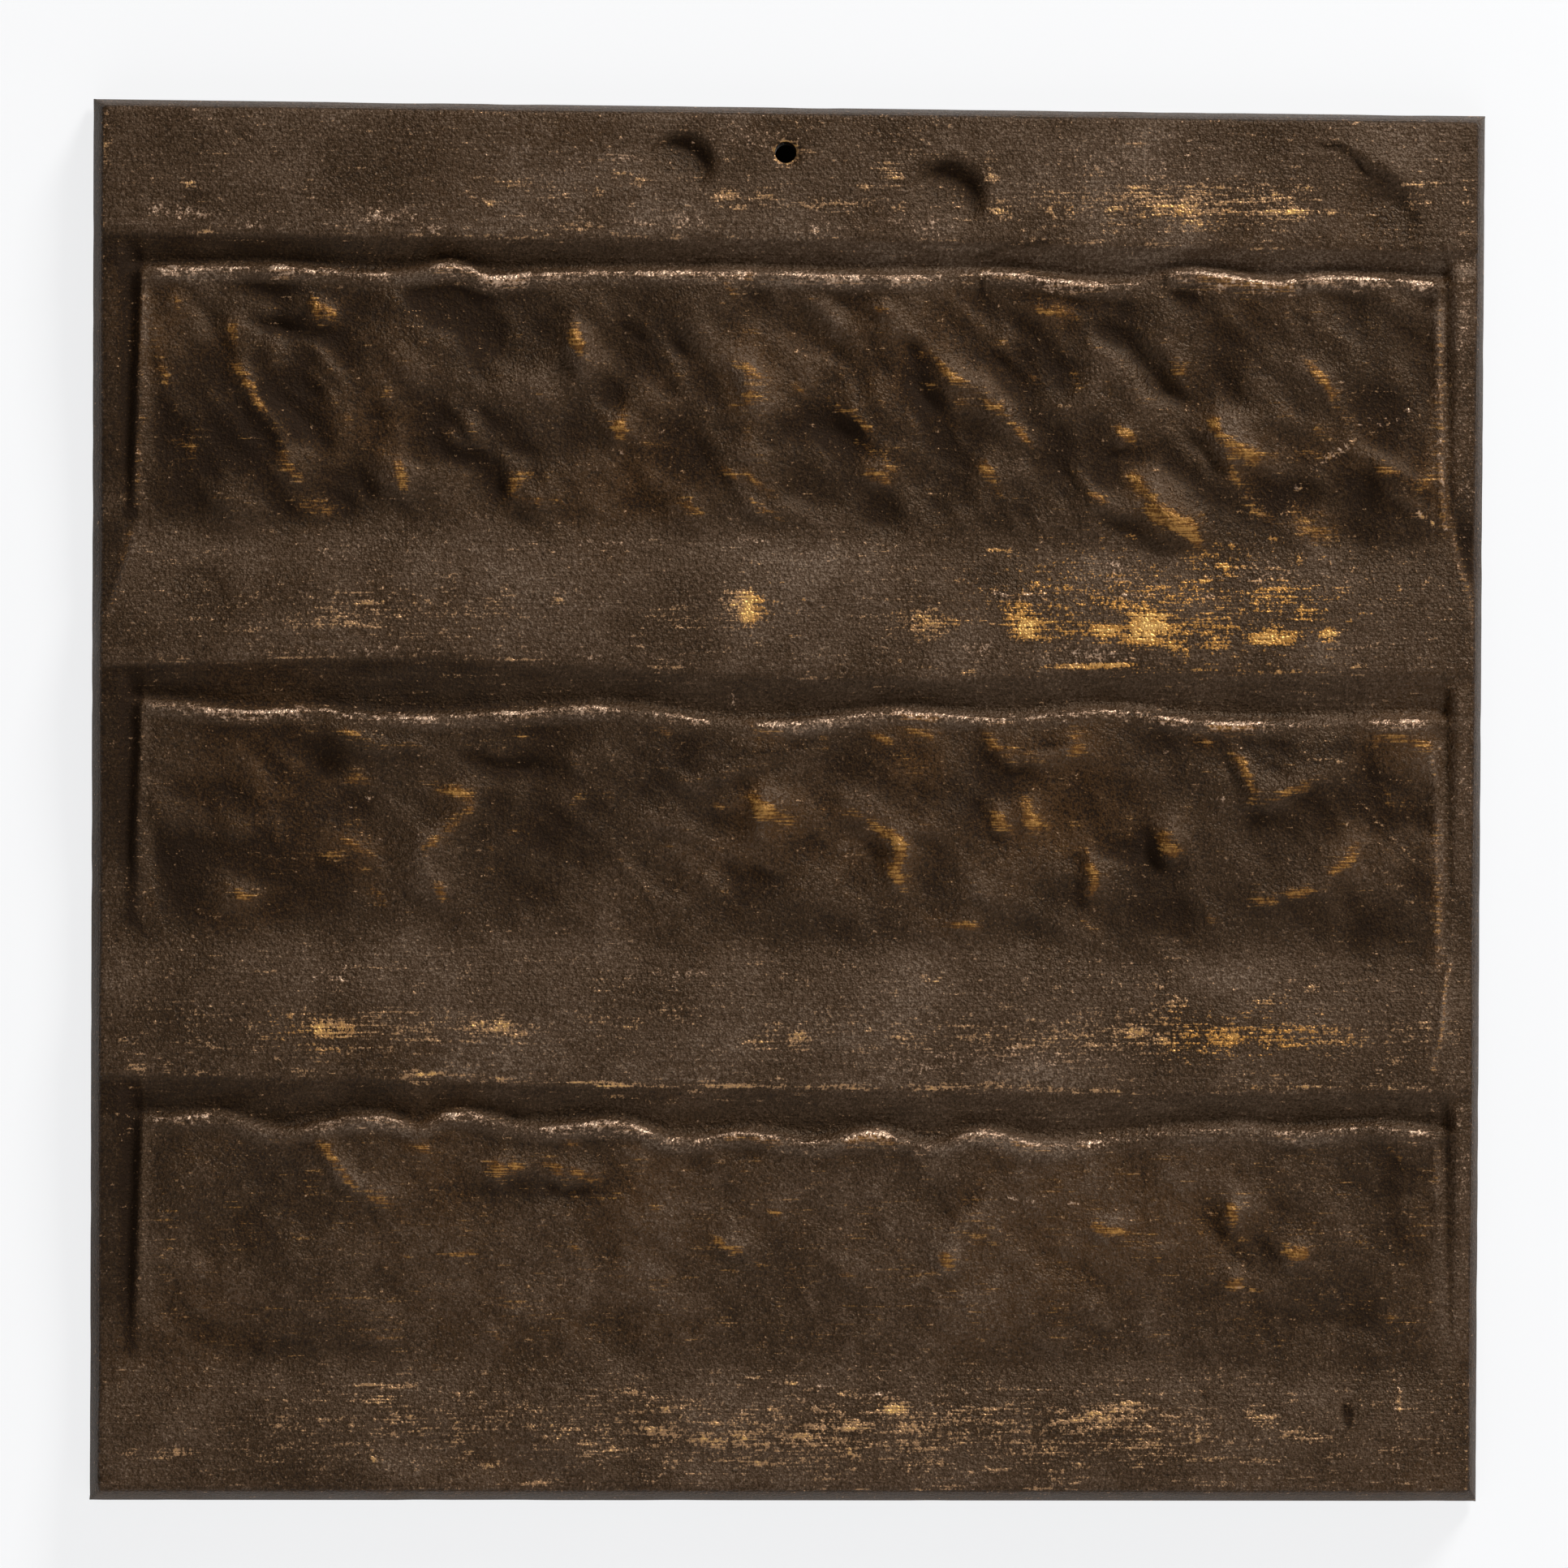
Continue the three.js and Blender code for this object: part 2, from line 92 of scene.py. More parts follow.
# Each tier's brink, crest and crease are (x, z) points, and swell is (x, rise) along the rolled edge. That
# edge carries rubbed metal under a painted highlight along shine, (from, to, strength), and is dull and
# golden along gaps and golden, (from, to); pale_line and pale_glow are that painted highlight's strengths.
# The side grooves end at fade above the crease. slope_tones are the slope's, at its left and right.
TIERS = [
    {
        "brink": [(-120, 102.8), (-60, 101.6), (20, 101), (60, 100), (120, 99)],
        "crest": [
            (-113, 95.2), (-93, 95.6), (-66, 94.9), (-61, 96), (-53, 93.9), (-46, 94.3), (-12, 94.6),
            (28, 94.1), (36, 94.5), (64, 93), (69, 94.3), (90, 93), (95, 93.6), (117, 92.7),
        ],
        "swell": [
            (-113, 0.3), (-99, 0.2), (-89, 0.7), (-76, -0.2), (-62, 1.0), (-50, 0.7), (-40, 0.2),
            (-10, 0.2), (24, 0.2), (32, -0.5), (40, 0.5), (60, 0.3), (66, -0.5), (72, 0.8), (90, 0.5),
            (117, 0.2),
        ],
        "shine": [
            (-113, -104, 0.9), (-104, -97, 0.65), (-93, -88, 0.95), (-88, -76, 0.6), (-76, -70, 0.85),
            (-63, -45, 1.05), (-45, -12, 0.75), (-12, -5, 0.9), (0, 28, 0.8), (35, 58, 0.9), (58, 65, 0.6),
            (69, 92, 0.95), (93, 117, 0.85),
        ],
        "gaps": [(-70, -63), (28, 35), (65, 68)],
        "golden": [(-8, 0), (69, 92)],
        "crease": [(-120, 49.6), (-40, 49.9), (20, 48.2), (70, 46), (120, 46)],
        "fade": 0,
        "slope_tones": (0.3, 0.76),
        "pale_line": 1.1,
        "pale_glow": 0.6,
    },
    {
        "brink": [(-120, 25), (-75, 26.2), (0, 23), (30, 22.2), (50, 23.4), (120, 23.2)],
        "crest": [
            (-113, 17.3), (-95, 15.8), (-86, 16.2), (-73, 14.9), (-50, 15.6), (-31, 16.5), (-10, 13.7),
            (6, 14.1), (16, 15.5), (40, 14.5), (60, 15.8), (74, 14), (95, 13.8), (117, 14.2),
        ],
        "swell": [
            (-113, 0), (-98, 0.5), (-80, 0.1), (-47, 0.3), (-25, 0), (-9, -0.4), (2, 0.5), (12, 0),
            (26, 0.2), (43, -0.4), (53, 0.2), (60, -0.3), (76, 0.6), (86, 0.4), (99, -0.6), (110, 0.2),
            (117, 0),
        ],
        "shine": [
            (-113, -105, 0.65), (-105, -85, 0.95), (-85, -70, 0.6), (-70, -62, 0.85), (-60, -53, 0.6),
            (-53, -42, 0.9), (-40, -28, 0.85), (-25, -12, 0.65), (-5, 5, 0.95), (5, 19, 0.7),
            (19, 30, 0.9), (30, 50, 0.65), (50, 56, 0.85), (56, 66, 0.65), (66, 73, 0.9), (75, 85, 0.95),
            (85, 93, 0.65), (105, 115, 0.85),
        ],
        "gaps": [(-28, -25), (-12, -6), (93, 104)],
        "golden": [(20, 29), (75, 85)],
        "crease": [(-120, -23), (-40, -24), (40, -26), (120, -28)],
        "fade": 6,
        "slope_tones": (0.25, 0.54),
        "pale_line": 1.1,
        "pale_glow": 0.6,
    },
    {
        "brink": [(-120, -48.6), (-60, -49.8), (0, -51), (60, -52), (120, -51.8)],
        "crest": [
            (-113, -57.2), (-101, -57), (-93, -59.3), (-71, -57.4), (-66, -59), (-62, -57.1), (-46, -59),
            (-28, -58.5), (-21, -60.9), (-6, -59.9), (5, -61.6), (15, -59.8), (28, -62), (33, -60.1),
            (46, -61.8), (74, -59.4), (80, -59), (88, -59.8), (108, -59), (117, -60),
        ],
        "swell": [
            (-113, -0.3), (-100, 0), (-84, 0.2), (-66, 0.5), (-52, 0), (-34, 0.5), (-12, 0.1), (14, 0.5),
            (24, 0), (39, 0.5), (52, -0.4), (64, -0.5), (75, 0), (83, -0.5), (90, 0.5), (104, 0.2),
            (117, 0),
        ],
        "shine": [
            (-114, -101, 0.65), (-85, -78, 0.85), (-75, -70, 0.85), (-63, -53, 0.9), (-45, -24, 0.9),
            (-22, -12, 0.65), (-12, 0, 0.7), (0, 10, 0.6), (10, 20, 1.05), (20, 28, 0.6), (30, 40, 0.85),
            (40, 48, 1.0), (51, 60, 0.75), (68, 70, 0.7), (73, 79, 0.55), (87, 92, 0.8), (93, 110, 0.55),
            (111, 116, 0.8),
        ],
        "gaps": [(-98, -91), (-68, -65), (60, 66), (79, 86)],
        "golden": [(-12, 0), (10, 20), (40, 48)],
        "crease": [(-120, -100), (-40, -100.5), (60, -101), (120, -101.5)],
        "fade": 1,
        "slope_tones": (0.32, 0.5),
        "pale_line": 0.95,
        "pale_glow": 0.55,
    },
]

# The first band's slanting ends: side, upper end, lower end, step, and how much painted shade falls beyond
# them.
BAND_ENDS = [
    (-1, (-116.2, 50.8), (-122.4, 31), 1.5, 0.35),
    (1, (119.2, 50.8), (123.6, 33), 1.2, 0.16),
]

# Rise, width of the steep flank (down and to the left), width of the gentle one, path.
FOLDS = [
    # first field
    (1.8, 1.5, 4, -99.8, 84.4, -96.6, 74.8, -91.4, 64.7, -88.5, 57.9, -82, 53.5),
    (1.3, 1.4, 2.4, -86.9, 79.6, -77.3, 68), (-1.3, 1.4, 1.3, -94.2, 86, -86, 84.4),
    (1.6, 1.2, 4, -60, 71, -59.2, 64.4, -51.6, 63.9, -50.4, 57), (2.0, 1.6, 4.8, -37.5, 89.6, -38, 76),
    (-1.3, 1.6, 1.4, -29.1, 84.5, -29.8, 73), (1.4, 2.4, 3.2, -53.2, 78.8, -41, 70.8),
    (1.3, 1.2, 3.2, -14, 92.5, -9, 86.9), (1.4, 2.4, 4, -6.5, 84.4, -7.5, 64.3),
    (1.5, 1.8, 3.2, 8.5, 72.4, 19, 62.7), (1.6, 1.8, 2.4, -11.4, 59.5, -2.5, 51),
    (1.1, 1.2, 2.4, -46.8, 60, -49, 54.7, -40.3, 54.7),
    (2.1, 1.8, 4.8, 16, 90, 29.4, 78, 38.2, 70.8, 43.8, 65.2), (-1.4, 4, 3.2, 22, 76, 36, 63),
    (-1.1, 1.8, 1.6, 41, 83, 45, 75), (1.3, 2.4, 2.4, 53, 84, 66, 72),
    (-1.5, 2.2, 2, 57.5, 85.2, 75.2, 69.2), (1.6, 1.8, 4, 77.6, 67.6, 81.6, 57.1),
    (1.6, 1.5, 4, 50.3, 61.9, 58.3, 52.3), (2.0, 2.0, 3.2, 62.3, 57.9, 72.8, 46.5),
    (1.4, 1.8, 3.2, 93.7, 78.8, 98.5, 74), (1.9, 1.6, 4, 101.7, 60.3, 110.6, 57.9, 115.5, 52),
    # second field
    (1.3, 1.2, 2.4, -87.7, 13.5, -65.2, 10.5, -60.4, 10.9),
    (2.1, 1.3, 3.2, -28.3, 13.3, -20.2, 5.3, -13.8, 5.3, 4.5, 9.3),
    (1.4, 2.2, 3.2, -54.8, 1.3, -64.4, -8.4, -62, -16.4), (1.5, 1.2, 2.1, 36, 11, 41.4, 7.3, 50.5, 9.5),
    (1.6, 1.3, 3.2, 80.8, 10, 84.5, -0.5, 93.7, 3.7, 101, 6.5), (-1.2, 1.6, 1.4, 103.5, 9, 106, 2),
    (1.5, 1.8, 3.2, 16.5, -4.3, 21.8, -8, 20.5, -14), (1.1, 1.8, 2.4, 54, -7, 55.5, -14.8),
    (1.4, 1.8, 4, 103.3, -7.6, 98.5, -12, 93.7, -16, 84, -18), (1.1, 2.6, 2.4, 28.6, -10, 39.8, -20.4),
    (1.1, 2.6, 3.2, 10, 1.3, 30, -6), (1.0, 2.6, 3.2, -101.4, -2.7, -95, -6),
    # third field
    (1.2, 1.6, 3.2, -82.9, -61.8, -78.9, -67.4, -70, -72.2), (1.3, 2.2, 4, -13, -78.6, -2.6, -84.3),
    (-1.0, 1.4, 1.3, 35, -69, 31.5, -74), (0.9, 1.4, 3.2, 35.8, -69.8, 29.5, -80.3),
    (0.9, 1.4, 1.6, 37, -63.5, 49, -63.2), (-0.7, 1.4, 1.3, 108, -66, 109.5, -78),
    (0.7, 1.8, 2.4, -113.5, -69, -105.5, -73),
    # bands
    (1.5, 0.8, 4, 97, 117.8, 101.2, 117.8, 105.3, 114.1, 110.8, 111, 114, 110.2),
    (-1.2, 4, 3.2, -73, -113, -40, -122), (0.9, 3, 3.2, -50, -110, -32, -121),
    (-1.0, 4, 3.2, -33, -112, -5, -121),
]
FOLD_ROUND = 0.6  # half width of a fold's rounded top
FOLD_END = 2.2  # how far a fold runs out past its path
FOLD_TAPER = 0.4  # a fold's rise at its ends, as a share of that in its middle
LIGHT_SLANT = 0.6  # how far to the right the photo's light is for each step up

# Narrow troughs, most of them in the fields: depth, half width, path.
TROUGHS = [
    (0.63, 1.4, -104, 88, -102.5, 84, -100.5, 80), (0.7, 1.3, -96, 86, -92, 85.5, -88, 86),
    (0.56, 1.6, -31.5, 84, -32.5, 78, -30.5, 72), (0.63, 1.3, -60, 68, -56, 63.5, -52, 64, -51.5, 57),
    (0.63, 1.8, 22, 82, 24, 76, 27, 72), (0.56, 1.4, 50, 60, 53, 56.5, 60, 49.5),
    (0.56, 1.4, 105, 60, 110, 56.5, 116, 54), (0.49, 1.6, -89, 71, -84, 66), (0.49, 1.5, 74, 65, 78, 60),
    (0.63, 1.4, -28, 12, -20, 5.8, -8, 7, 3, 9.5), (0.56, 1.6, 34, -1, 38, -7),
    (0.63, 1.6, 64, -5, 66, -10), (0.56, 1.4, 51.5, -11, 53.5, -18), (0.49, 1.4, 79, 9, 82, 2, 85, -3),
    (0.49, 1.6, -57, 8, -50, 6, -44, 7), (0.56, 1.5, 11, -6, 16, -9, 18, -13),
    (0.42, 1.4, -86, -62, -82, -67, -76, -72), (0.42, 1.4, -42, -69, -36, -70, -32, -69),
    (0.7, 0.55, 95.5, 118, 99, 118.2, 101.5, 117, 103.5, 114.3, 106, 112.6, 108.5, 110.9, 111, 110.8),
    (0.42, 1.3, 76, -71, 78, -76), (0.42, 1.5, 27, -84, 28.5, -88), (0.42, 1.4, 87, -80, 91, -83.5),
]

# The amber strokes lie on small folds of their own, which rise with the wear.
WORN_RISE, WORN_STEEP = 0.55, 0.9

# Lumps and hollows: x, z, half width, half height, rise.
LUMPS = [
    # first field
    (-84, 88.2, 3, 2.5, 1.3), (-91.8, 80, 2.6, 2.6, 1.1), (-83, 64.4, 2.4, 2.4, -0.9),
    (-98, 57.5, 6, 4, 1.2), (-57.5, 67.5, 2.5, 2.5, 1.2), (-65, 60, 9, 5, 1.1), (-37.3, 83, 2.4, 2.4, 1.1),
    (-29.5, 68, 3, 3, 1.6), (6, 67.5, 8, 5, -1.5), (60.7, 66.8, 2.3, 2.3, 1.2), (16, 59, 2.8, 2.5, 0.9),
    (35.4, 58.5, 3, 3, 1.3), (-72, 80, 12, 8, 0.9), (95, 66, 8, 6, 0.9),
    # second field
    (-83.5, 7, 4, 3.5, -1.2), (-47, 6.5, 5, 3, -1.3), (-38, 7, 2.4, 2.4, 1.1), (-3.8, -1.5, 3.2, 3, 1.9),
    (-10, -4, 3, 3, -1.0), (-5.8, -13.2, 3.6, 3.4, -1.1), (110.5, 6.9, 5, 6, 1.6),
    (38.2, -3.1, 2.8, 2.8, 1.7), (44.6, -2.7, 2.8, 3.2, 1.4), (68, -6.8, 3.2, 3.2, 1.9),
    (64, -8.5, 2.6, 2.6, -1.0), (-106, -9, 6, 4, -1.0), (-98, -16.5, 5, 3, 1.1), (32.6, -22, 4, 2, 0.7),
    # third field
    (-65, -63, 3, 2.5, 0.9), (-51.6, -65.4, 2.8, 2.4, 0.9), (-38, -66, 3.5, 2.5, 1.0),
    (-48, -70.5, 8, 3, -0.9), (-31, -93, 6, 3.5, -0.9), (29, -82.5, 2.8, 2.5, 1.1),
    (58.3, -77, 4.5, 2.4, 1.0), (80, -73.5, 2.8, 2.6, 1.4), (76.5, -75, 2.5, 2.5, -0.8),
    (91.5, -81, 3.2, 2.4, 1.3), (80.5, -86, 2.6, 2.4, 1.0), (96, -93, 12, 4, -1.1), (-85, -87, 14, 8, 0.8),
    (45, -88, 18, 8, 0.9),
    # on the slope above the third field
    (-89, -56, 2.2, 1.4, 0.5), (-78, -56, 2, 1.3, 0.5), (-47, -55, 2.2, 1.4, 0.5),
    (14, -55, 2.2, 1.4, 0.5), (46, -55, 2.2, 1.4, 0.5),
]

# Thumb dents in the bands: x, z, radius, depth.
DENTS = [
    (29, 108.3, 7.0, 2.3), (-19, 114.2, 6.2, 2.2), (106.5, 103.6, 7.2, 1.0), (-106, 36, 6.8, 0.7),
]
DENT_RIM = (0.72, 1.08)  # where a dent's floor ends and the band begins, in radii

# Small casting pits: x, z, half width, half height, depth.
PITS = [
    (-98.2, 119.8, 1.0, 0.5, 0.7), (-106.2, 108.3, 2.2, 0.8, 0.4), (121.8, 117.1, 0.7, 0.7, 0.5),
    (100.7, -109.6, 0.8, 1.8, 1.0), (75, -105.8, 0.7, 0.7, 0.7), (-6.7, -33.9, 0.6, 0.6, 0.5),
    (10.1, 115.9, 0.6, 0.6, 0.5),
]

# Fine raised seams and scratches: rise, half width, wear, path.
SEAMS = [
    (0.25, 0.5, 0.5, 116.2, 70, 109, 68, 104, 66.5, 100.1, 63.5, 95, 60, 92.1, 55.5, 88, 50),
    (0.25, 0.45, 0.4, 92, 9.5, 98, 6.5, 101, 3, 104.9, -1.5, 110.5, -8, 115, -12),
    (0.2, 0.4, 0.35, 98, 7.5, 103, 6.3, 108, 5),
    (0.25, 0.5, 0.45, 109.5, -102, 110.3, -110, 109, -116, 109, -121, 110.3, -124),
    (0.2, 0.4, 0.35, 106.5, -75, 109, -82, 109.5, -88),
    (0.2, 0.3, 0.6, -14, -102.6, -2, -103.8, 8, -105.8, 16, -106.6),
    (0.3, 0.35, 1.0, 113.4, 52, 116.5, 50),
]

# Raised beads along the panels' side edges: rise, half width, path.
BEADS = [
    (0.9, 0.9, 117.1, 92, 117.3, 80, 117.7, 64), (1.2, 0.9, 117.6, 62.4, 117.9, 56, 118.2, 49.5),
    (0.7, 0.8, 116.6, 9, 116.9, -4, 117.2, -28), (0.6, 0.7, 119.4, -29, 118.3, -34, 117.2, -44),
    (0.5, 0.8, 116.9, -63, 117, -78), (0.5, 0.8, -115.3, 94, -116.2, 78, -117.2, 54),
    (0.4, 0.7, -115.4, 14, -116, 0, -116.6, -16), (0.4, 0.7, -115.3, -60, -116.2, -84),
]

CRUMBLY = (-27, -11, 18, 9)  # where the cast grain is coarsest: x, z, half width, half height
NOISE_CELLS = 128  # before the noise repeats
DIAGONAL = 0.7  # turns x and z into places along and across the diagonal
FIELD_LEFT, FIELD_RIGHT = (-115.5, -112), (118, 115)  # where the fields begin, from outside to inside
LOWEST_FIELD = (-55, -66)  # where the third one begins, downwards

# ---- wear and patina ----

# Where the patina is rubbed through to gold on the bands: x, z, half width, half height, strength.
RUBBED = [
    (68, -42, 46, 3.6, 0.5), (-75, -41, 26, 4, 0.44), (15, -113, 80, 7, 0.43), (-75, 34.5, 20, 5, 0.38),
    (70, 107.5, 22, 4.5, 0.46), (-7, 35.8, 2.2, 2.2, 1.1), (68, 36, 30, 8, 0.42),
    # top band
    (69.5, 107.5, 9, 2.6, 0.66), (75, 109.5, 6, 1.8, 0.6), (63, 110, 3.5, 1.2, 0.6),
    (58.8, 106.3, 2.4, 0.9, 0.85), (91.5, 105.7, 6.5, 0.8, 1.0), (88, 108.5, 4, 1.8, 0.6),
    (93, 110.4, 3.5, 0.5, 0.7), (77, 103, 2.2, 1.2, 0.7), (72, 103.9, 3.2, 0.8, 0.65),
    (38.6, 105.9, 2, 1.2, 0.85), (55.5, 112.8, 2.2, 0.8, 0.6), (47.5, 106.2, 1, 1, 0.7),
    (51, 103.2, 1, 0.8, 0.6), (20, 112, 2.4, 0.9, 0.6), (18, 114, 2, 0.8, 0.55),
    (13.8, 110.2, 1.2, 0.8, 0.6), (8, 107, 9, 1.1, 0.5), (20.5, 107, 1.2, 1.5, 0.6),
    (36.7, 113, 1.3, 2.6, 0.5), (114, 111, 3.2, 0.6, 0.7), (113, 108, 2.4, 1.4, 0.5),
    (122.2, 106, 1.2, 6, 0.4), (63.5, 118, 1.2, 0.6, 0.6), (79, 106.8, 3, 0.7, 0.6),
    (-10.6, 109, 2, 1.1, 0.85), (-3.6, 109, 2.4, 1, 0.7), (-8, 107.3, 4, 0.35, 0.7),
    (-49, 111, 3, 0.8, 0.66), (-30, 112.6, 1.8, 0.9, 0.6), (-26, 111.4, 1.8, 0.9, 0.55),
    (-34, 109.5, 1.5, 1.2, 0.6), (-47, 109.5, 2, 0.5, 0.55), (-56.5, 110.5, 1, 0.9, 0.5),
    (-53, 107.5, 1, 0.7, 0.6), (-107, 111, 1.4, 0.9, 0.6), (-103.5, 102.6, 1.6, 0.4, 0.7),
    (-122.3, 118, 0.9, 4.5, 0.6), (0, 121.5, 5, 1.5, 0.35),
    # first band
    (64.6, 31.6, 4, 2.9, 1.2), (58, 31, 5, 1.6, 0.95), (43, 31.4, 3.2, 2, 1.12), (42, 33.8, 3, 2.6, 0.7),
    (87.6, 29.5, 3.8, 1.5, 1.15), (97.6, 30, 1.7, 1.3, 0.95), (50, 31.6, 6, 2.4, 0.6),
    (26, 32, 5, 2.6, 0.6), (28.4, 33.2, 2.4, 0.9, 0.7), (70, 29.2, 2.6, 2.4, 0.85), (77, 29, 3, 1.8, 0.62),
    (71.6, 27, 1.5, 1, 0.65), (65, 37, 14, 4.6, 0.46), (87, 37, 6, 5.5, 0.48), (93, 34, 2.2, 1.8, 0.66),
    (79, 42, 1.2, 1.5, 0.7), (75, 39.8, 0.9, 0.5, 0.95), (38, 45.3, 3, 0.5, 0.7),
    (92, 43.5, 1.5, 1.2, 0.7), (60, 34.2, 3, 0.9, 0.6), (19, 33.6, 7, 1.5, 0.4), (78, 32, 9, 2.6, 0.5),
    (-6.8, 33.4, 1.6, 1.5, 1.15), (-9.6, 36, 2.2, 2, 0.72), (-8, 34, 4, 2.6, 0.6), (-76, 36, 3, 1.4, 0.62),
    (-73, 35.6, 2, 0.9, 0.6), (-80.5, 35, 4, 2.8, 0.42), (-52, 35.5, 2.4, 1.1, 0.52),
    (-41, 36.3, 1.2, 0.8, 0.66), (-50, 38, 2, 1.5, 0.4), (-19, 33.6, 3.5, 2, 0.4),
    # second band
    (-83, -40.8, 2.4, 1.2, 0.85), (-79, -40.9, 3, 1.2, 0.7), (-89, -39.5, 1.2, 2.8, 0.5),
    (-72, -37.5, 3, 1.4, 0.52), (-56, -40.5, 3.5, 2, 0.75), (-51, -40, 2.5, 1.8, 0.72),
    (-57, -43, 1.2, 0.6, 0.7), (-64, -42, 3, 0.5, 0.6), (-48.5, -42, 1.8, 0.7, 0.62),
    (-73, -42, 1.5, 0.9, 0.5), (-28, -40, 2, 0.7, 0.75), (-34, -39, 4, 0.9, 0.48),
    (-20, -37.6, 2.5, 1.8, 0.48), (-5, -42.5, 4, 1.4, 0.58), (-1.5, -40.5, 1.6, 0.8, 0.6),
    (2, -42.5, 2, 1.8, 0.82), (21, -42, 2.5, 1.2, 0.68), (25, -43.5, 2, 0.9, 0.6),
    (34, -42.2, 4, 0.7, 0.75), (44, -43.5, 2, 0.9, 0.6), (50, -41.5, 4, 0.9, 0.62),
    (55, -43.2, 2, 0.9, 0.7), (62, -41, 4, 2, 0.7), (68, -43, 3, 1.2, 0.68), (72, -40.5, 2, 1.3, 0.66),
    (79, -42, 4, 2.1, 0.7), (87, -41.5, 4, 1.8, 0.66), (76, -41.5, 16, 2.8, 0.42),
    (102, -42.5, 4, 1.8, 0.58), (98, -40.5, 1.5, 0.7, 0.6), (114.5, -40, 0.9, 0.9, 0.62),
    (120.6, -40.5, 0.9, 1.4, 0.55), (109, -46.6, 0.9, 0.9, 0.62), (94.5, -33.4, 1.4, 0.6, 0.85),
    (90, -34, 3, 0.9, 0.42), (85, -36, 4, 0.7, 0.58), (70, -36.5, 3, 1.4, 0.48), (66, -33, 3, 0.9, 0.5),
    (26, -32, 3, 0.7, 0.58), (-110, -47, 1.5, 0.9, 0.66), (-116.5, -48, 2, 1.2, 0.5),
    (-118.5, -43, 2, 1.8, 0.5), (-115, -36.8, 3, 0.9, 0.48), (-106, -38.5, 3, 1.2, 0.4),
    # bottom band
    (-73, -107.5, 3, 1.4, 0.6), (-69, -110.2, 5.5, 1.6, 0.5), (-77.4, -107, 0.9, 0.6, 0.6),
    (-58.5, -111, 2, 0.9, 0.66), (-66, -113, 3, 1.1, 0.62), (-59, -114, 3, 1.4, 0.64),
    (-57, -116.6, 2, 0.6, 0.66), (-53, -119, 3, 0.9, 0.55), (-74, -117.5, 0.7, 0.7, 0.8),
    (-59, -107, 0.9, 0.6, 0.7), (-47, -108.5, 3, 0.7, 0.68), (-50, -111, 1.4, 1.4, 0.58),
    (-46, -112, 1.2, 0.7, 0.7), (-39.5, -112.5, 3, 1.4, 0.7), (-36, -115, 3, 1.1, 0.58),
    (-31, -116.2, 2, 0.5, 0.6), (-28, -106, 3, 1.1, 0.56), (-22, -109, 1.4, 0.7, 0.66),
    (-22, -113, 3, 1.1, 0.74), (-14, -114.5, 5, 1.4, 0.8), (-8, -114, 3, 1.4, 0.8),
    (-5, -118, 4, 1.1, 0.68), (-13, -111.5, 1.5, 0.6, 0.8), (-2, -109, 2, 0.9, 0.66),
    (2, -114, 5, 1.1, 0.68), (8, -113.6, 3, 1.8, 0.54), (13, -112, 4, 1.6, 0.7), (20, -109, 4, 1.8, 0.76),
    (22, -112, 4, 1.8, 0.76), (12, -116.6, 2.5, 0.7, 0.8), (6, -120.5, 4, 1.4, 0.42),
    (28, -118.8, 3, 0.9, 0.58), (40, -112.2, 5, 0.9, 0.66), (50, -111, 6, 1.8, 0.6),
    (58, -110.5, 5, 2.1, 0.78), (62, -108.5, 3, 1.1, 0.78), (46, -116, 6, 0.9, 0.48),
    (52.4, -119, 0.9, 0.6, 0.75), (63, -118.6, 1.8, 0.5, 0.68), (74, -114, 2, 0.9, 0.68),
    (85, -111, 5, 1.8, 0.6), (93, -113.5, 4, 1.1, 0.64), (45, -123.7, 5, 0.4, 0.9),
    (30, -123, 10, 0.6, 0.46), (8, -124, 8, 0.5, 0.55), (-92, -117, 3, 1.4, 0.42),
    (-110, -117, 4, 1.4, 0.45), (-118, -116.5, 1.4, 1.8, 0.52), (-44, -122, 6, 1.3, 0.4),
    (-10, -112.5, 48, 7, 0.32), (70, -112.5, 30, 6, 0.32), (-80, -112, 25, 7, 0.28),
]
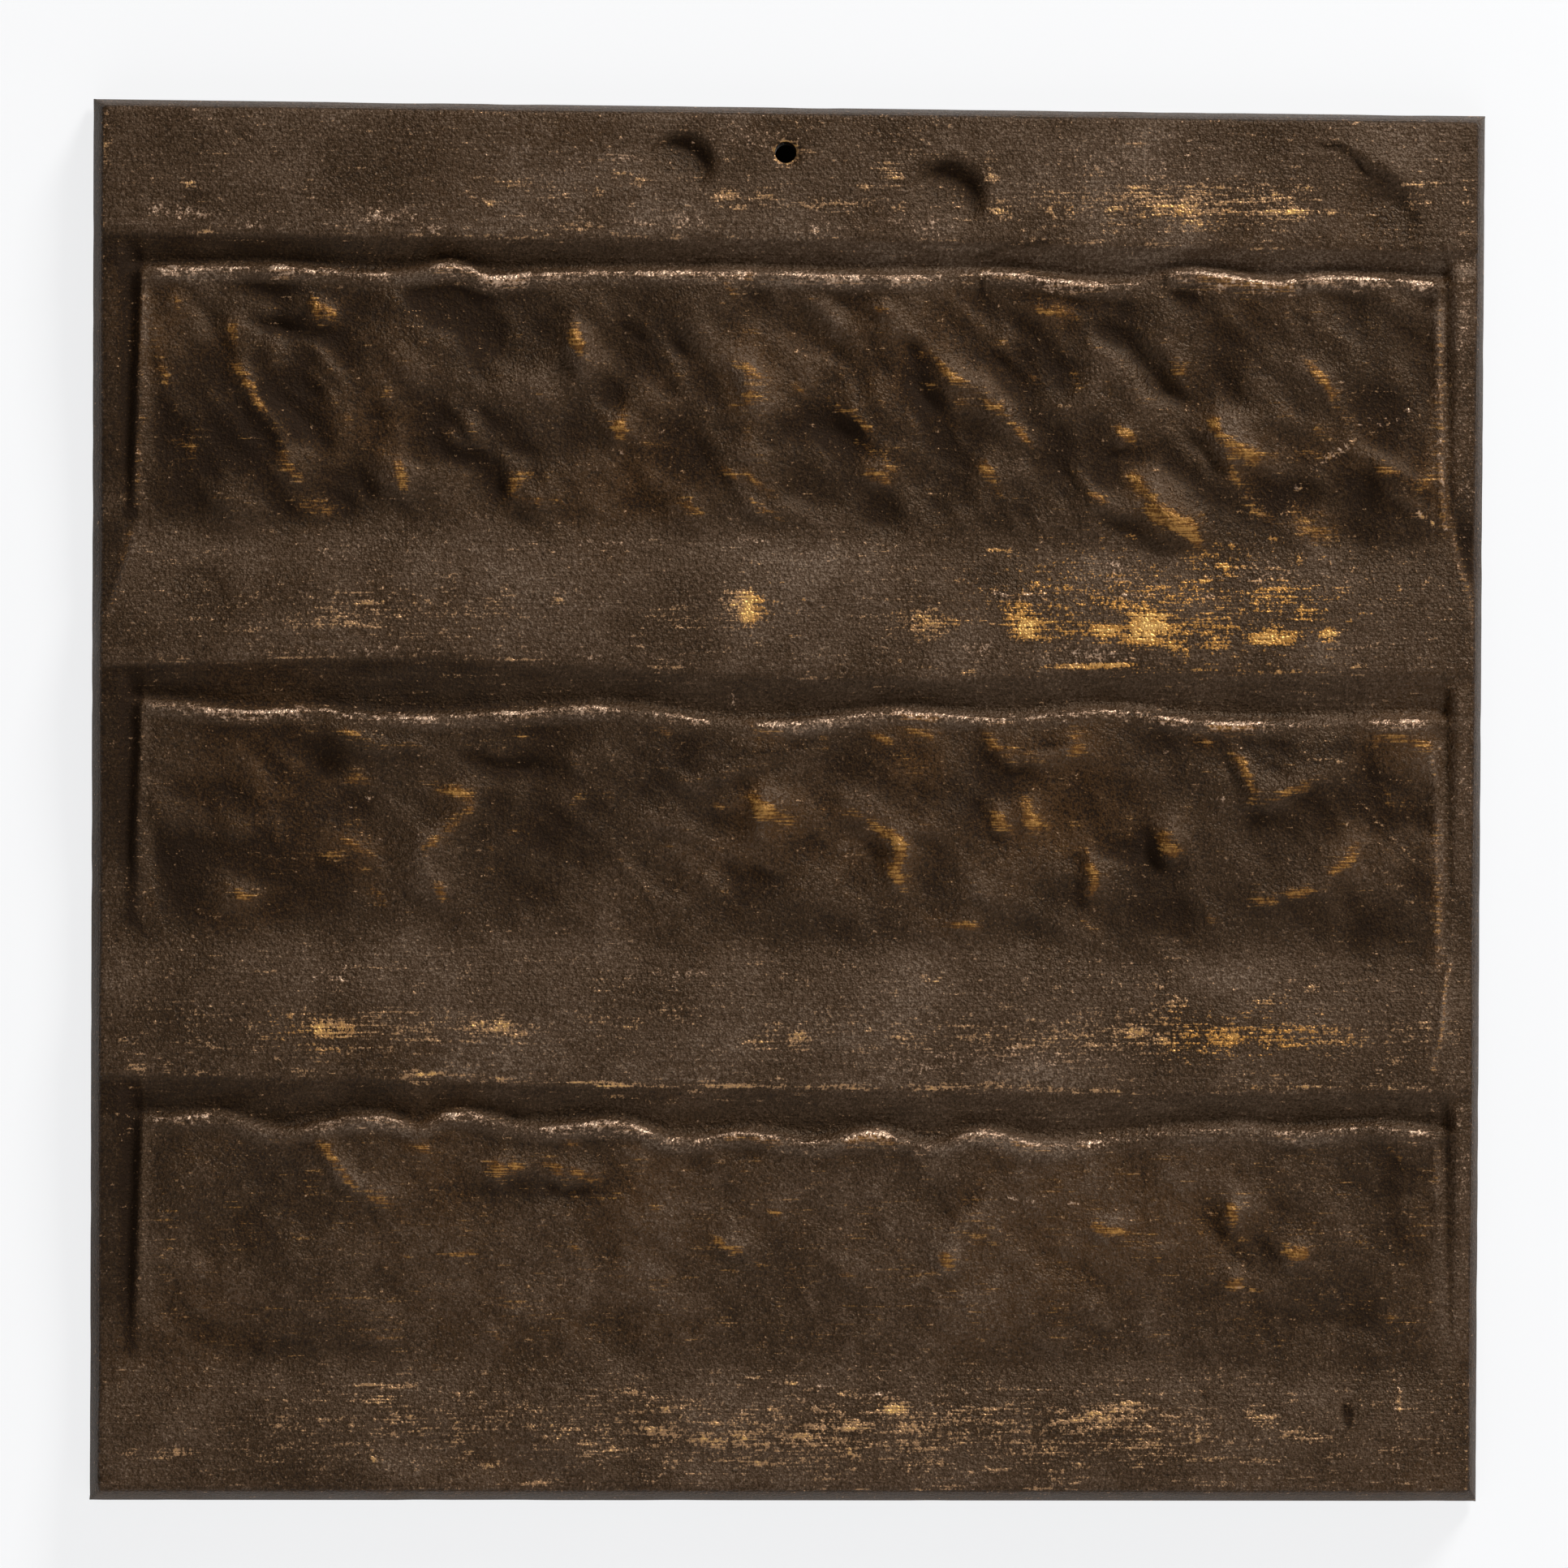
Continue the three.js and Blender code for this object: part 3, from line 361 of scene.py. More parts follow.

# Where pale, silvery specks show on the bands; the zones near x 122 paint a highlight along the right
# strip's lit inner edge.
PALE = [
    (-108, 105.6, 5, 1.1, 0.62), (-112, 106.4, 2.5, 0.8, 0.6), (-72, 105, 6, 1.2, 0.6),
    (-75, 107, 4, 0.9, 0.45), (-96, 103.5, 4, 1, 0.45), (-64, 103, 3, 0.8, 0.55), (-27, 104, 6, 0.7, 0.58),
    (-17, 104.5, 3, 1.3, 0.55), (-43, 105.7, 4, 0.4, 0.6), (-36, 106.5, 2, 0.7, 0.5),
    (24, 104, 6, 1.3, 0.5), (25, 102, 3, 0.7, 0.5), (-105, 125, 7, 0.5, 0.7), (-108, 122.7, 4, 0.6, 0.6),
    (-5, 119, 8, 3, 0.4), (30, 123.9, 10, 0.35, 0.75), (60, 123, 30, 0.4, 0.42), (-28, 115.8, 3, 0.8, 0.6),
    (5, 104, 8, 2, 0.35), (66, 115, 12, 4, 0.3), (39, 37.5, 2, 0.6, 0.75), (44, 37, 5, 0.5, 0.75),
    (59, 42.5, 3, 0.9, 0.75), (60, 40.2, 6, 0.4, 0.66), (61, 37.2, 4, 0.5, 0.75), (55, 26.5, 8, 1.8, 0.55),
    (35, 27.5, 4, 1.4, 0.55), (12, 40.8, 4, 0.5, 0.55), (-33, 46.5, 5, 0.6, 0.62), (-6, 47, 3, 0.5, 0.55),
    (-82, 44.5, 3, 1.4, 0.4), (85, 41, 8, 2, 0.45), (101, 40, 3, 0.7, 0.5), (103, 27.7, 4, 0.5, 0.5),
    (76, 37, 2, 0.6, 0.66), (5, 32, 4, 0.6, 0.4), (-75, 27.2, 14, 0.6, 0.5), (-30, 25.8, 12, 0.6, 0.4),
    (42, -45.5, 22, 2, 0.4), (-20, -31, 8, 1.2, 0.42), (121.7, 88, 1.2, 14, 0.5),
    (122.2, 62, 1.4, 12, 0.34), (121.8, -66, 1.2, 14, 0.4), (122.4, 10, 1.4, 14, 0.3),
    (-80, -31, 5, 1.2, 0.4), (25, -47.5, 10, 1.2, 0.35), (10, -110, 20, 5, 0.25),
]

# Thin rubbed lines along the bands' lower edges and elsewhere: half width, wear, path.
STREAKS = [
    (0.35, 0.75, 15, 24.9, 21, 25.2), (0.3, 0.6, 23, 24.4, 30, 23.6, 35, 23),
    (0.4, 0.85, 39, 23, 46, 23.7, 54, 24.5, 63, 24.7), (0.3, 0.45, 63, 24.2, 84, 23.6, 104, 24.3),
    (0.4, 0.7, -98, -48.4, -88, -48.5, -77, -49), (0.4, 0.72, -70, -49.2, -60, -48.5, -40, -48.8),
    (0.3, 0.7, -67, -50.5, -62, -50.3), (0.3, 0.8, -50, -50.2, -34, -50.5),
    (0.5, 0.8, -34, -50.7, -15, -51, 0, -50.6), (0.4, 0.7, 0, -50.8, 18, -51),
    (0.3, 0.6, -35, -52.5, -28, -53.2, -19, -53.8), (0.35, 0.75, 25, -51.6, 35, -51.3, 60, -52),
    (0.3, 0.55, 60, -51.7, 90, -51, 118, -50.6), (0.3, 0.5, 28, -50.7, 48, -51),
    (0.5, 0.4, -45, 102.3, -30, 103.8, -12, 103.4), (0.4, 0.5, -66, 102.3, -52, 101.6, -42, 101.8),
    (0.3, 0.55, 83, 99.3, 87, 98.4), (0.35, 0.5, 40, 99.8, 44, 101.2), (0.4, 0.4, 2.2, 117.6, 5.5, 116.4),
    (0.3, 0.5, -74, -110.6, -66, -112, -55, -113.6), (0.25, 0.5, 62, -117.6, 84, -118.1, 103, -116.8),
    (0.25, 0.55, -78, -104.7, -66, -105), (0.3, 0.4, -120, 123.6, -122.2, 112, -122.2, 90),
    (0.3, 0.5, 122.4, -112, 122, -123.6),
]

# Amber wear on the fields' folds: half width, wear, path.
AMBER = [
    # first field
    (1.2, 0.6, -99, 85, -100.5, 80, -97, 76, -94, 71), (1.0, 0.55, -93, 66, -90, 61, -87, 58),
    (1.8, 0.62, -86, 53.5, -81, 53), (1.3, 0.6, -85, 90, -81, 88), (0.9, 0.6, -84.4, 90, -84, 86.5),
    (1.2, 0.45, -109, 94, -109, 88.5), (1.2, 0.5, -114.4, 87, -113, 80, -111, 75.5),
    (2.2, 0.55, -109, 65, -107, 62.5), (0.9, 0.45, -79, 70, -77, 68), (0.9, 0.5, -73, 73, -71, 74),
    (1.5, 0.5, -74.5, 64, -71, 63), (0.9, 0.62, -69.6, 62, -68.6, 56.5),
    (1.1, 1.0, -37.8, 84, -37.2, 81.6), (0.8, 0.7, -39, 77, -38, 76.5), (0.8, 0.75, -29, 71, -29.8, 66),
    (1.3, 0.85, -29.9, 67.5, -29.5, 66), (1.2, 0.42, -25, 64, -20, 63.5),
    (1.1, 0.5, -50, 55, -48, 58.5, -45.5, 59), (0.6, 0.75, -48, 54.2, -40, 54.2),
    (0.9, 0.7, -12, 59.5, -9, 59), (1.2, 0.8, -7.5, 59.5, -2.5, 55), (1.0, 0.6, -5, 54, -1, 51),
    (1.0, 0.52, -20, 54.5, -15.5, 52), (1.1, 0.55, -8, 84, -6, 84), (2.2, 0.5, -8, 79, -4, 76),
    (1.5, 0.5, -9, 71, -3.5, 74), (0.9, 0.42, -7, 67.5, -6.5, 65), (0.7, 0.65, -11.5, 94.5, -9, 90.5),
    (0.9, 0.7, 1, 75.5, 3, 74), (0.9, 0.5, 7, 73, 10, 70.5, 15, 67),
    (1.3, 0.7, 13, 64.5, 17, 62.5, 19.5, 60), (1.1, 0.55, 15, 59, 19, 57.5), (0.7, 0.55, 16.5, 88, 18, 88),
    (0.6, 0.85, 23.6, 80.5, 24.5, 80.3), (0.9, 0.6, 27, 78.5, 29.5, 77), (0.7, 0.85, 30, 76, 31.5, 75.5),
    (0.8, 0.55, 25, 76, 26, 74), (0.9, 0.6, 31, 72, 33.5, 71), (0.9, 0.5, 36, 71.5, 39, 70.5),
    (0.9, 0.7, 41, 68, 42.5, 66.5, 44, 64), (1.5, 0.7, 35.5, 60.5, 37, 59, 38, 56),
    (0.9, 0.42, 28, 69, 30, 68), (0.7, 0.75, 44, 76.5, 45.5, 75.3), (1.3, 0.62, 51.5, 77.5, 52.5, 75.5),
    (0.6, 0.7, 58, 75, 58.3, 73.5), (1.0, 0.85, 59.5, 67.5, 62.5, 65), (1.2, 0.6, 70, 77.5, 72.5, 78),
    (1.2, 0.8, 76.5, 68.5, 78, 66), (1.0, 0.8, 79.5, 64.5, 83, 63, 88, 62), (1.8, 0.82, 81, 63, 84, 61.5),
    (1.2, 0.7, 79.5, 60, 82.5, 57, 83.5, 55.5), (1.0, 0.72, 91.5, 62, 94.5, 63, 98, 61.5),
    (1.1, 0.85, 94, 79, 96.5, 76, 98.5, 73.5), (1.3, 0.42, 87, 71.5, 90, 71),
    (1.2, 0.42, 95, 66.5, 98, 67), (0.9, 0.45, 99, 70.5, 101, 69),
    (1.6, 1.0, 62.5, 58, 65, 53.5, 67, 50.5, 71, 49.5, 74, 46), (1.7, 0.85, 68, 52, 73, 50),
    (0.8, 0.66, 55, 55, 58, 54.5), (1.8, 0.7, 84, 53, 87, 51.5), (2.2, 0.82, 92, 51.5, 95, 49, 98, 48.5),
    (1.1, 0.6, 93, 53, 97, 52), (0.9, 0.5, 106, 59.5, 109, 59.3), (1.4, 0.6, 115.5, 59, 114, 56),
    (2.2, 0.4, 46, 90, 50, 88), (0.8, 0.66, 46, 88, 52, 87.3),
    # second field
    (1.1, 0.62, -78.5, 4.5, -75, 4), (1.2, 1.0, -62.5, 2.5, -59.5, 2, -56.5, 1),
    (0.8, 0.5, -58, -1, -56, -1.5), (0.6, 0.5, -54.5, 2, -51, 2),
    (1.4, 0.52, -59, -3, -61, -5.5, -64, -8.5), (1.2, 0.75, -63, -15.5, -61, -17.5),
    (1.4, 0.65, -74, -15.5, -72.5, -18), (0.9, 0.5, -77, -11, -75, -12.5),
    (2.4, 0.52, -79, -6.5, -75, -8.5), (0.8, 0.62, -85, -9.5, -79, -9.3),
    (1.3, 0.46, -77, -3.5, -75.5, -4.5), (1.6, 0.5, -98, -16.5, -96.5, -17.5),
    (1.1, 0.56, -114.6, -17, -114, -19), (0.9, 0.45, -108, 3, -105, 3.5), (1.7, 0.42, -49, -5, -47, -5),
    (1.0, 0.5, -38, 1, -36, 1.2), (0.7, 0.6, -53, -8.5, -52.5, -8.5), (0.7, 0.5, -55, -11.5, -51, -12.5),
    (0.9, 0.55, -79, 13, -76.5, 12.5), (1.1, 0.5, -49, 13, -45, 12), (1.4, 0.55, -24, 13.5, -20, 12),
    (1.2, 0.8, -5, 11.5, -1, 12.5), (1.2, 0.7, -6.5, 14, -5.5, 13),
    (1.6, 1.1, -6, 1, -5, -1, -2.5, -2.5, 1, -3.5), (0.9, 0.42, -13, 0, -10.5, -1.5),
    (0.8, 0.5, -22, -8, -21, -8), (1.0, 0.75, 15.5, 12, 18.5, 11), (1.2, 0.7, 21, 13, 25, 12.8),
    (1.3, 0.62, 20.5, 8, 27, 7.5), (0.9, 0.55, 20, 5.5, 27, 5.5), (0.35, 0.65, 22.5, 10.5, 29, 12.8),
    (0.8, 0.65, 6.5, 12, 7, 10), (1.1, 0.5, 7, -1.5, 10, -2),
    (1.5, 0.92, 16.5, -5, 20, -6.5, 20.5, -9, 19.5, -12, 21, -14), (1.0, 0.5, 11, -1.5, 15.5, -3.5),
    (1.1, 0.66, 36, 13, 37, 11), (0.9, 0.66, 37, 10, 44, 9.2), (1.4, 0.75, 51.5, 13.5, 53, 11, 52, 9),
    (1.8, 0.82, 37.5, -3.5, 40, -4.5), (1.2, 0.76, 43, 0.5, 43.5, -2), (2.0, 0.88, 43.5, -3.5, 47, -3.5),
    (1.1, 0.5, 43, -7, 46, -7.5), (1.0, 0.72, 51, -4.5, 52, -4), (1.1, 0.56, 49.5, -8.5, 54, -8.3),
    (1.0, 0.72, 54.5, -11.5, 55.5, -14, 54.3, -17.5), (1.4, 0.88, 67.5, -6.5, 68.5, -8.5, 70.5, -9),
    (1.3, 0.75, 74, 11.5, 76, 10.5), (0.9, 0.6, 79, 9, 80.5, 8), (0.9, 0.76, 82, 8, 83, 4, 84, -0.5),
    (0.8, 0.5, 84.5, -0.5, 88.5, 0.5), (0.8, 0.76, 89.5, 1.5, 94, 3),
    (1.2, 0.8, 98, -12, 101, -10.5, 102.5, -7.5), (0.9, 0.82, 90.5, -16.8, 94, -16),
    (1.0, 0.66, 83.5, -17.8, 88, -17.8), (1.5, 0.8, 106, 11.5, 111, 11.5, 115, 10),
    (0.3, 0.7, 107.5, 1.5, 114, 0), (0.3, 0.6, 108, -0.5, 113, -1.6),
    (1.1, 0.45, 74.5, -20.5, 77.5, -20.8), (0.9, 0.56, 25, -21, 30, -22), (0.9, 0.8, 30, -22, 34.5, -22.3),
    (0.8, 0.5, 53, -21, 56, -23), (1.0, 0.5, 97.5, -23, 99, -22.5),
    # third field
    (1.5, 0.7, -83.5, -61.5, -81, -63.5), (0.9, 0.5, -79.5, -66, -77.5, -69.5),
    (0.9, 0.56, -75, -71, -70, -72.3), (1.3, 0.56, -68, -61.5, -64.5, -62),
    (1.1, 0.5, -92, -60.5, -88, -61), (1.3, 0.8, -53, -65, -51, -66), (1.0, 0.8, -49, -65, -48, -65.5),
    (1.4, 0.85, -43, -64.5, -40.5, -65.8), (1.0, 0.56, -38.5, -66, -35, -68, -33, -67),
    (0.8, 0.66, -40, -61.2, -37, -61.2), (1.1, 0.46, -36, -74, -34, -73),
    (1.2, 0.6, -23.5, -72.5, -23, -74.5), (1.0, 0.7, -3, -73.5, -1, -74),
    (1.1, 0.75, -13, -78, -12, -79.5), (0.8, 0.66, -11, -80, -8.5, -80.8), (0.9, 0.42, -5, -83, -3, -85),
    (0.8, 0.66, -63, -81.3, -55, -81), (0.8, 0.6, -69, -82, -68, -82), (1.2, 0.56, -75, -79.5, -73, -80.5),
    (1.4, 0.48, -53, -78, -51, -77.5), (1.2, 0.45, -43, -79.5, -41, -79.5),
    (1.1, 0.45, -38, -79, -37.5, -81), (0.9, 0.5, -67, -87.5, -66, -87.5), (0.7, 0.5, -76, -96, -70, -97),
    (0.6, 0.56, -68, -101.3, -62, -101.5), (0.7, 0.5, -52, -96, -49, -99),
    (0.8, 0.48, 33, -76.5, 31.5, -78.5), (1.3, 0.7, 28, -81.5, 29.5, -83.5),
    (1.1, 0.48, 28.5, -86, 30, -88), (1.2, 0.45, 34.5, -86.5, 36.5, -88),
    (1.2, 0.7, 55.5, -76.5, 59, -77, 62, -78.5), (0.7, 0.75, 66.5, -82, 68, -82),
    (0.9, 0.48, 9.5, -85, 12, -84.5), (1.0, 0.75, 79.5, -72.5, 80.5, -75),
    (0.7, 0.56, 81, -78.5, 83.5, -78.5), (1.0, 0.56, 94, -74, 95.5, -76.5), (1.6, 0.7, 90, -80, 93, -81.5),
    (1.2, 0.66, 79, -87, 81, -87), (0.8, 0.56, 83, -87, 85, -88), (0.9, 0.5, 93, -63, 95, -62.5),
    (1.0, 0.56, 107.5, -62, 110.5, -64), (1.0, 0.56, 108, -91.5, 109.5, -94),
    (0.9, 0.46, 103, -79, 105, -78.5),
]

# Brown, peach and gold wear along the panels' edges and beside them: half width, wear, path.
PANEL_EDGES = [
    (0.9, 0.6, 117.3, 88, 117.6, 74), (1.3, 0.75, 117.5, 74, 117.4, 63.8),
    (1.2, 0.85, 117.2, 62.6, 118.2, 48.4), (0.6, 0.7, 115.8, 8, 116.8, 3.5),
    (1.3, 0.66, 116.8, -4, 117.2, -29),
    (0.5, 0.9, 119.5, -29, 118.4, -33, 118, -40, 116.6, -45, 116.2, -48.5),
    (0.7, 0.6, -116.3, 66, -116.4, 54), (0.9, 0.6, -117.6, 50, -119.4, 42, -121.6, 33),
    (0.6, 0.35, -115.4, 92, -115.4, 68), (0.8, 0.6, 119.2, 50.8, 123.6, 33, 123.8, 27),
    (0.8, 0.55, 116.8, -63, 116.8, -70),
]

# Where the bare metal is golden rather than peach: x, z, half width, half height, strength.
GOLDEN = [
    (68, 36, 30, 12, 1.0), (0, 35, 7, 6, 0.6), (84, -42, 16, 6, 0.6), (-87, -41, 10, 5, 0.4),
    (70, 106, 20, 4, 0.25),
]

# Reddish stains in the patina, in the same order.
REDDISH = [
    (-96, -1, 15, 9, 0.8), (-101, -22, 12, 8, 0.7), (-86, 66, 18, 12, 0.6), (-30, 58, 26, 8, 0.5),
    (20, 76, 24, 10, 0.6), (28, -8, 30, 7, 0.6), (66, -6, 16, 8, 0.5), (-40, -78, 60, 14, 0.8),
    (55, -78, 50, 15, 0.9), (96, 66, 14, 12, 0.5), (-100, -80, 14, 16, 0.6),
]

# Lighter swaths of patina.
LIGHTER = [
    (-18, 81, 22, 9, 0.5), (-52, 58, 10, 5, 0.4), (8, -14, 18, 7, 0.5), (66, -3, 10, 5, 0.3),
    (15, -74, 36, 14, 0.5), (-60, -80, 30, 12, 0.25), (-85, 104, 28, 5, 0.3),
]

# Dark clouds in the patina, and painted shade inside the thumb dents' upper rims and under the foot of the
# right panel's edge bead.
DARK_CLOUDS_AND_SHADE = [
    (-76, -122, 16, 3.2, 0.6), (104, -121, 13, 4, 0.45), (33.5, 110.5, 2, 3.5, 0.7),
    (29, 114, 4, 1.2, 0.6), (-14.5, 116, 1.3, 3.5, 0.8), (-17, 119.5, 2.2, 1.2, 0.6),
    (118.2, 48, 1.8, 0.8, 1.0), (116.5, 47.6, 3, 0.6, 0.8), (112.5, 104.5, 1.2, 3, 0.5),
    (121.5, 56, 2.5, 5, 0.7), (122, 43, 1.8, 7, 0.7), (-112, 29, 8, 4, 0.5), (-120, 16, 3, 12, 0.4),
    (-119, 30, 4, 5, 0.4), (-21, 114, 3, 4, 0.3), (-106, 108.5, 3, 1.6, 0.5), (105, 112, 8, 3, 0.4),
    (-105, 36, 6, 6, 0.35), (40, 100, 6, 1.2, 0.4), (-50, 86, 20, 4, 0.45), (-95, 66, 6, 7, 0.35),
    (-31, 78, 2.5, 8, 0.35), (25, 77, 4, 5, 0.6), (5, 66, 10, 6, 0.35), (-58, 64, 6, 4, 0.4),
    (55, 56, 5, 4, 0.4), (107, 57, 8, 3, 0.6), (88, 57, 6, 3, 0.45), (48, 92, 6, 2, 0.45),
    (-85, 12, 20, 4, 0.4), (-20, 7, 8, 4, 0.5), (-100, -5, 10, 12, 0.3), (33, -4, 3, 4, 0.5),
    (64, -7, 2.5, 4, 0.5), (52, -15, 3, 4, 0.4), (85, 12, 12, 2.5, 0.45), (106, 2, 4, 5, 0.45),
    (35, 4, 12, 3, 0.25), (100, 12, 5, 3, 0.5), (-85, -63, 5, 3, 0.4), (-48, -69, 8, 2.5, 0.35),
    (32, -70, 3, 4, 0.45), (76, -74, 3, 4, 0.45), (90, -88, 14, 4, 0.35), (-33, -93, 6, 3, 0.35),
    (108, -68, 4, 4, 0.5), (-95, -97, 18, 3, 0.25), (96, -101, 18, 2, 0.4), (40, -64.5, 8, 1.5, 0.4),
]

# Painted shade along the grooves on the left side of the panels: half width, strength, path.
GROOVE_SHADE = [
    (1.5, 0.8, -117.6, 97, -117.2, 70, -117.6, 52), (1.5, 0.8, -118, 20, -117.4, -8, -117.8, -21),
    (1.2, 0.6, -117.8, -19, -115.6, -23.5), (1.5, 0.8, -118, -52, -117.6, -75, -117.8, -98),
]

# Fine dark cracks, in the same order.
CRACKS = [
    (0.9, 0.85, 100.8, -108.8, 101.1, -111.6), (0.6, 0.8, 75.2, -106.3, 75.5, -106.9),
    (0.35, 0.85, 96, 117.6, 99.5, 117.9, 102, 115.8, 104.5, 112.6, 108, 110.8, 112.5, 110.6),
    (0.3, 0.7, 110, 109, 112.5, 107, 113.5, 104.5), (0.35, 0.6, 20.5, 111, 23, 114, 28, 115.3, 33, 113),
    (0.3, 0.7, 34.5, 98, 40, 99.6, 47, 100.3), (0.35, 0.8, 35, 91.5, 35.6, 95.5),
    (0.4, 0.8, 67.5, 90.5, 68, 95), (0.3, 0.6, 92.5, 91.5, 93.3, 94.5),
    (0.4, 0.8, 35, 13, 36.5, 10.5, 39, 9.4, 44, 9.6, 49, 10.6, 51, 11.4),
    (0.45, 0.7, -10, 8.4, -4, 9, 1, 9.6, 5, 11), (0.3, 0.6, 52, 62.5, 54, 59, 57, 57.5),
    (0.3, 0.6, 115.2, 62.8, 118, 63.4), (0.4, 0.6, 105, 60.5, 110, 59, 114, 56),
]

# Fine bright scratches.
SCRATCHES = [
    (0.4, 0.5, 110, -103, 109.4, -110, 110.6, -116, 109.6, -122),
    (0.25, 0.46, -10, -102.5, 0, -104.5, 14, -106, 34, -107),
    (0.28, 0.52, 83, 50, 90, 55.5, 98, 61.5, 104, 66.5, 110, 68.6, 116, 69.2),
    (0.22, 0.48, 96, 60.8, 103, 67.8, 109, 70, 115.5, 71), (0.15, 0.5, 92, 52.5, 99, 50.3),
    (0.24, 0.46, 69.5, 13.5, 68.5, 8, 71, 3, 76, 1, 82, 0), (0.2, 0.6, 113.5, 52, 116.5, 50.6),
    (0.24, 0.46, -9.5, 20, -9, 14, -10, 8), (0.24, 0.44, -80, -2, -70, 4, -62, 6.5),
    (0.24, 0.44, -34, 60, -24, 66, -12, 69), (0.24, 0.46, 28, -66, 40, -71, 55, -72),
]

BAND_SPECKS = 0.13  # wear all over the bands
SPECKLESS = 6  # inside the side strips, where those specks fade out
ZONE_FADE = 0.6  # a zone is down to exp(-0.6) of its strength at its half width
ROLL_ENDS = (-114, 117)  # the rolled edges' ends, left and right
LIT_ABOVE = 0.5  # the brightest line's distance above a rolled edge's crest


# ---- small maths ----

def smoothstep(start, end, value):
    t = np.clip((value - start) / (end - start), 0, 1)
    return t * t * (3 - 2 * t)


def mix(a, b, t):
    return a + (b - a) * t


def bell(value, width):
    """1 where the value is 0, fading over the width on both sides."""
    return np.exp(-((value / width) ** 2))


def stretch(start, end, x, soft=1.5):
    """1 between start and end, 0 beyond them."""
    return smoothstep(start - soft, start + soft, x) * smoothstep(end + soft, end - soft, x)


def strongest(*masks):
    return functools.reduce(np.maximum, masks)


def bend(t, k):
    """0 below zero and t above it, rounded over k each way."""
    return np.where(t > k, t, np.where(t < -k, 0, (t + k) ** 2 / (4 * k)))


def ramp(start, end, value, k=SOFT_BEND):
    t = (value - start) / (end - start)
    return bend(t, k) - bend(t - 1, k)


def along(line, x):
    """The height at x of a smooth curve through the line's points."""
    xs, zs = (np.array(c, float) for c in zip(*line))
    slopes = np.gradient(zs, xs)
    i = np.clip(np.searchsorted(xs, x, side="right") - 1, 0, len(xs) - 2)
    gap = xs[i + 1] - xs[i]
    t = np.clip((x - xs[i]) / gap, 0, 1)
    return (zs[i] * (1 + 2 * t) * (1 - t) ** 2 + gap * slopes[i] * t * (1 - t) ** 2
            + zs[i + 1] * t * t * (3 - 2 * t) + gap * slopes[i + 1] * t * t * (t - 1))


def noise(x, z, size, seed):
    """Smooth noise between about -1 and 1, with swells about one size across."""
    angles = np.random.default_rng(seed).random((NOISE_CELLS, NOISE_CELLS)) * 2 * math.pi
    u, v = (np.asarray(c) / size + (NOISE_CELLS + 1) / 2 for c in (x, z))
    iu, iv = np.floor(u).astype(int), np.floor(v).astype(int)
    fu, fv = u - iu, v - iv

    def corner(i, j):
        a = angles[(iu + i) % NOISE_CELLS, (iv + j) % NOISE_CELLS]
        return np.cos(a) * (fu - i) + np.sin(a) * (fv - j)

    su, sv = smoothstep(0, 1, fu), smoothstep(0, 1, fv)
    return 1.5 * mix(mix(corner(0, 0), corner(1, 0), su), mix(corner(0, 1), corner(1, 1), su), sv)


def wave(x, size, seed):
    """Noise that changes across the plate and not down it."""
    return noise(x, 0 * x, size, seed)


def blur(values, passes):
    """Each value averaged with its neighbours in the grid, over and over."""
    for _ in range(passes):
        padded = np.pad(values, 1, mode="edge")
        beside = padded[:-2, 1:-1] + padded[2:, 1:-1] + padded[1:-1, :-2] + padded[1:-1, 2:]
        values = beside / 8 + values / 2
    return values


# ---- height of the front: the tiers ----

def tiers(x):
    """Each tier, with its lines read at x, and end, the height at which the next one begins."""
    ends = [along(tier["brink"], x) for tier in TIERS[1:]] + [LAST_END + 0 * x]
    for tier, end in zip(TIERS, ends):
        lines = {name: along(tier[name], x) for name in ("brink", "crest", "crease", "swell")}
        yield SimpleNamespace(**{**tier, **lines, "end": end})


def tier_profile(x, z):
    top = mix(TOP_LEFT[1], TOP_RIGHT[1], (x - TOP_LEFT[0]) / SPAN)
    height = mix(BAND_TOP, BRINK, ramp(top, next(tiers(x)).brink, z, TOP_BEND))
    for tier in tiers(x):
        valley = tier.crest + ROLL_UP
        peak = CREST + tier.swell
        height = (height
                  + (VALLEY - BRINK) * ramp(tier.brink, valley, z)
                  + (peak - VALLEY) * smoothstep(valley + VALLEY_FLAT, tier.crest, z)
                  + (FIELD - peak) * smoothstep(tier.crest, tier.crest - ROLL_DOWN, z)
                  + (CREASE - FIELD) * ramp(tier.crest, tier.crease, z, SLIGHT_BEND)
                  + (BAND_LOW - CREASE) * smoothstep(tier.crease + 1, tier.crease - LIFT, z)
                  + (BRINK - BAND_LOW) * ramp(tier.crease, tier.end, z, SLIGHT_BEND))
    return height


def groove_opening(x, z):
    """How far down its field's side a point is, from 0 to 1, and how open the side groove is there."""
    down, opening = np.zeros(x.shape), np.zeros(x.shape)
    for tier in tiers(x):
        foot = tier.crease + tier.fade
        beside = (z <= tier.brink) & (z >= foot)
        share = (tier.brink - z) / (tier.brink - foot)
        open_here = smoothstep(0, GROOVE_OPEN, share) * (1 - smoothstep(GROOVE_CLOSING, 1, share))
        down = np.where(beside, share, down)
        opening = np.where(beside, open_here, opening)
    return down, opening


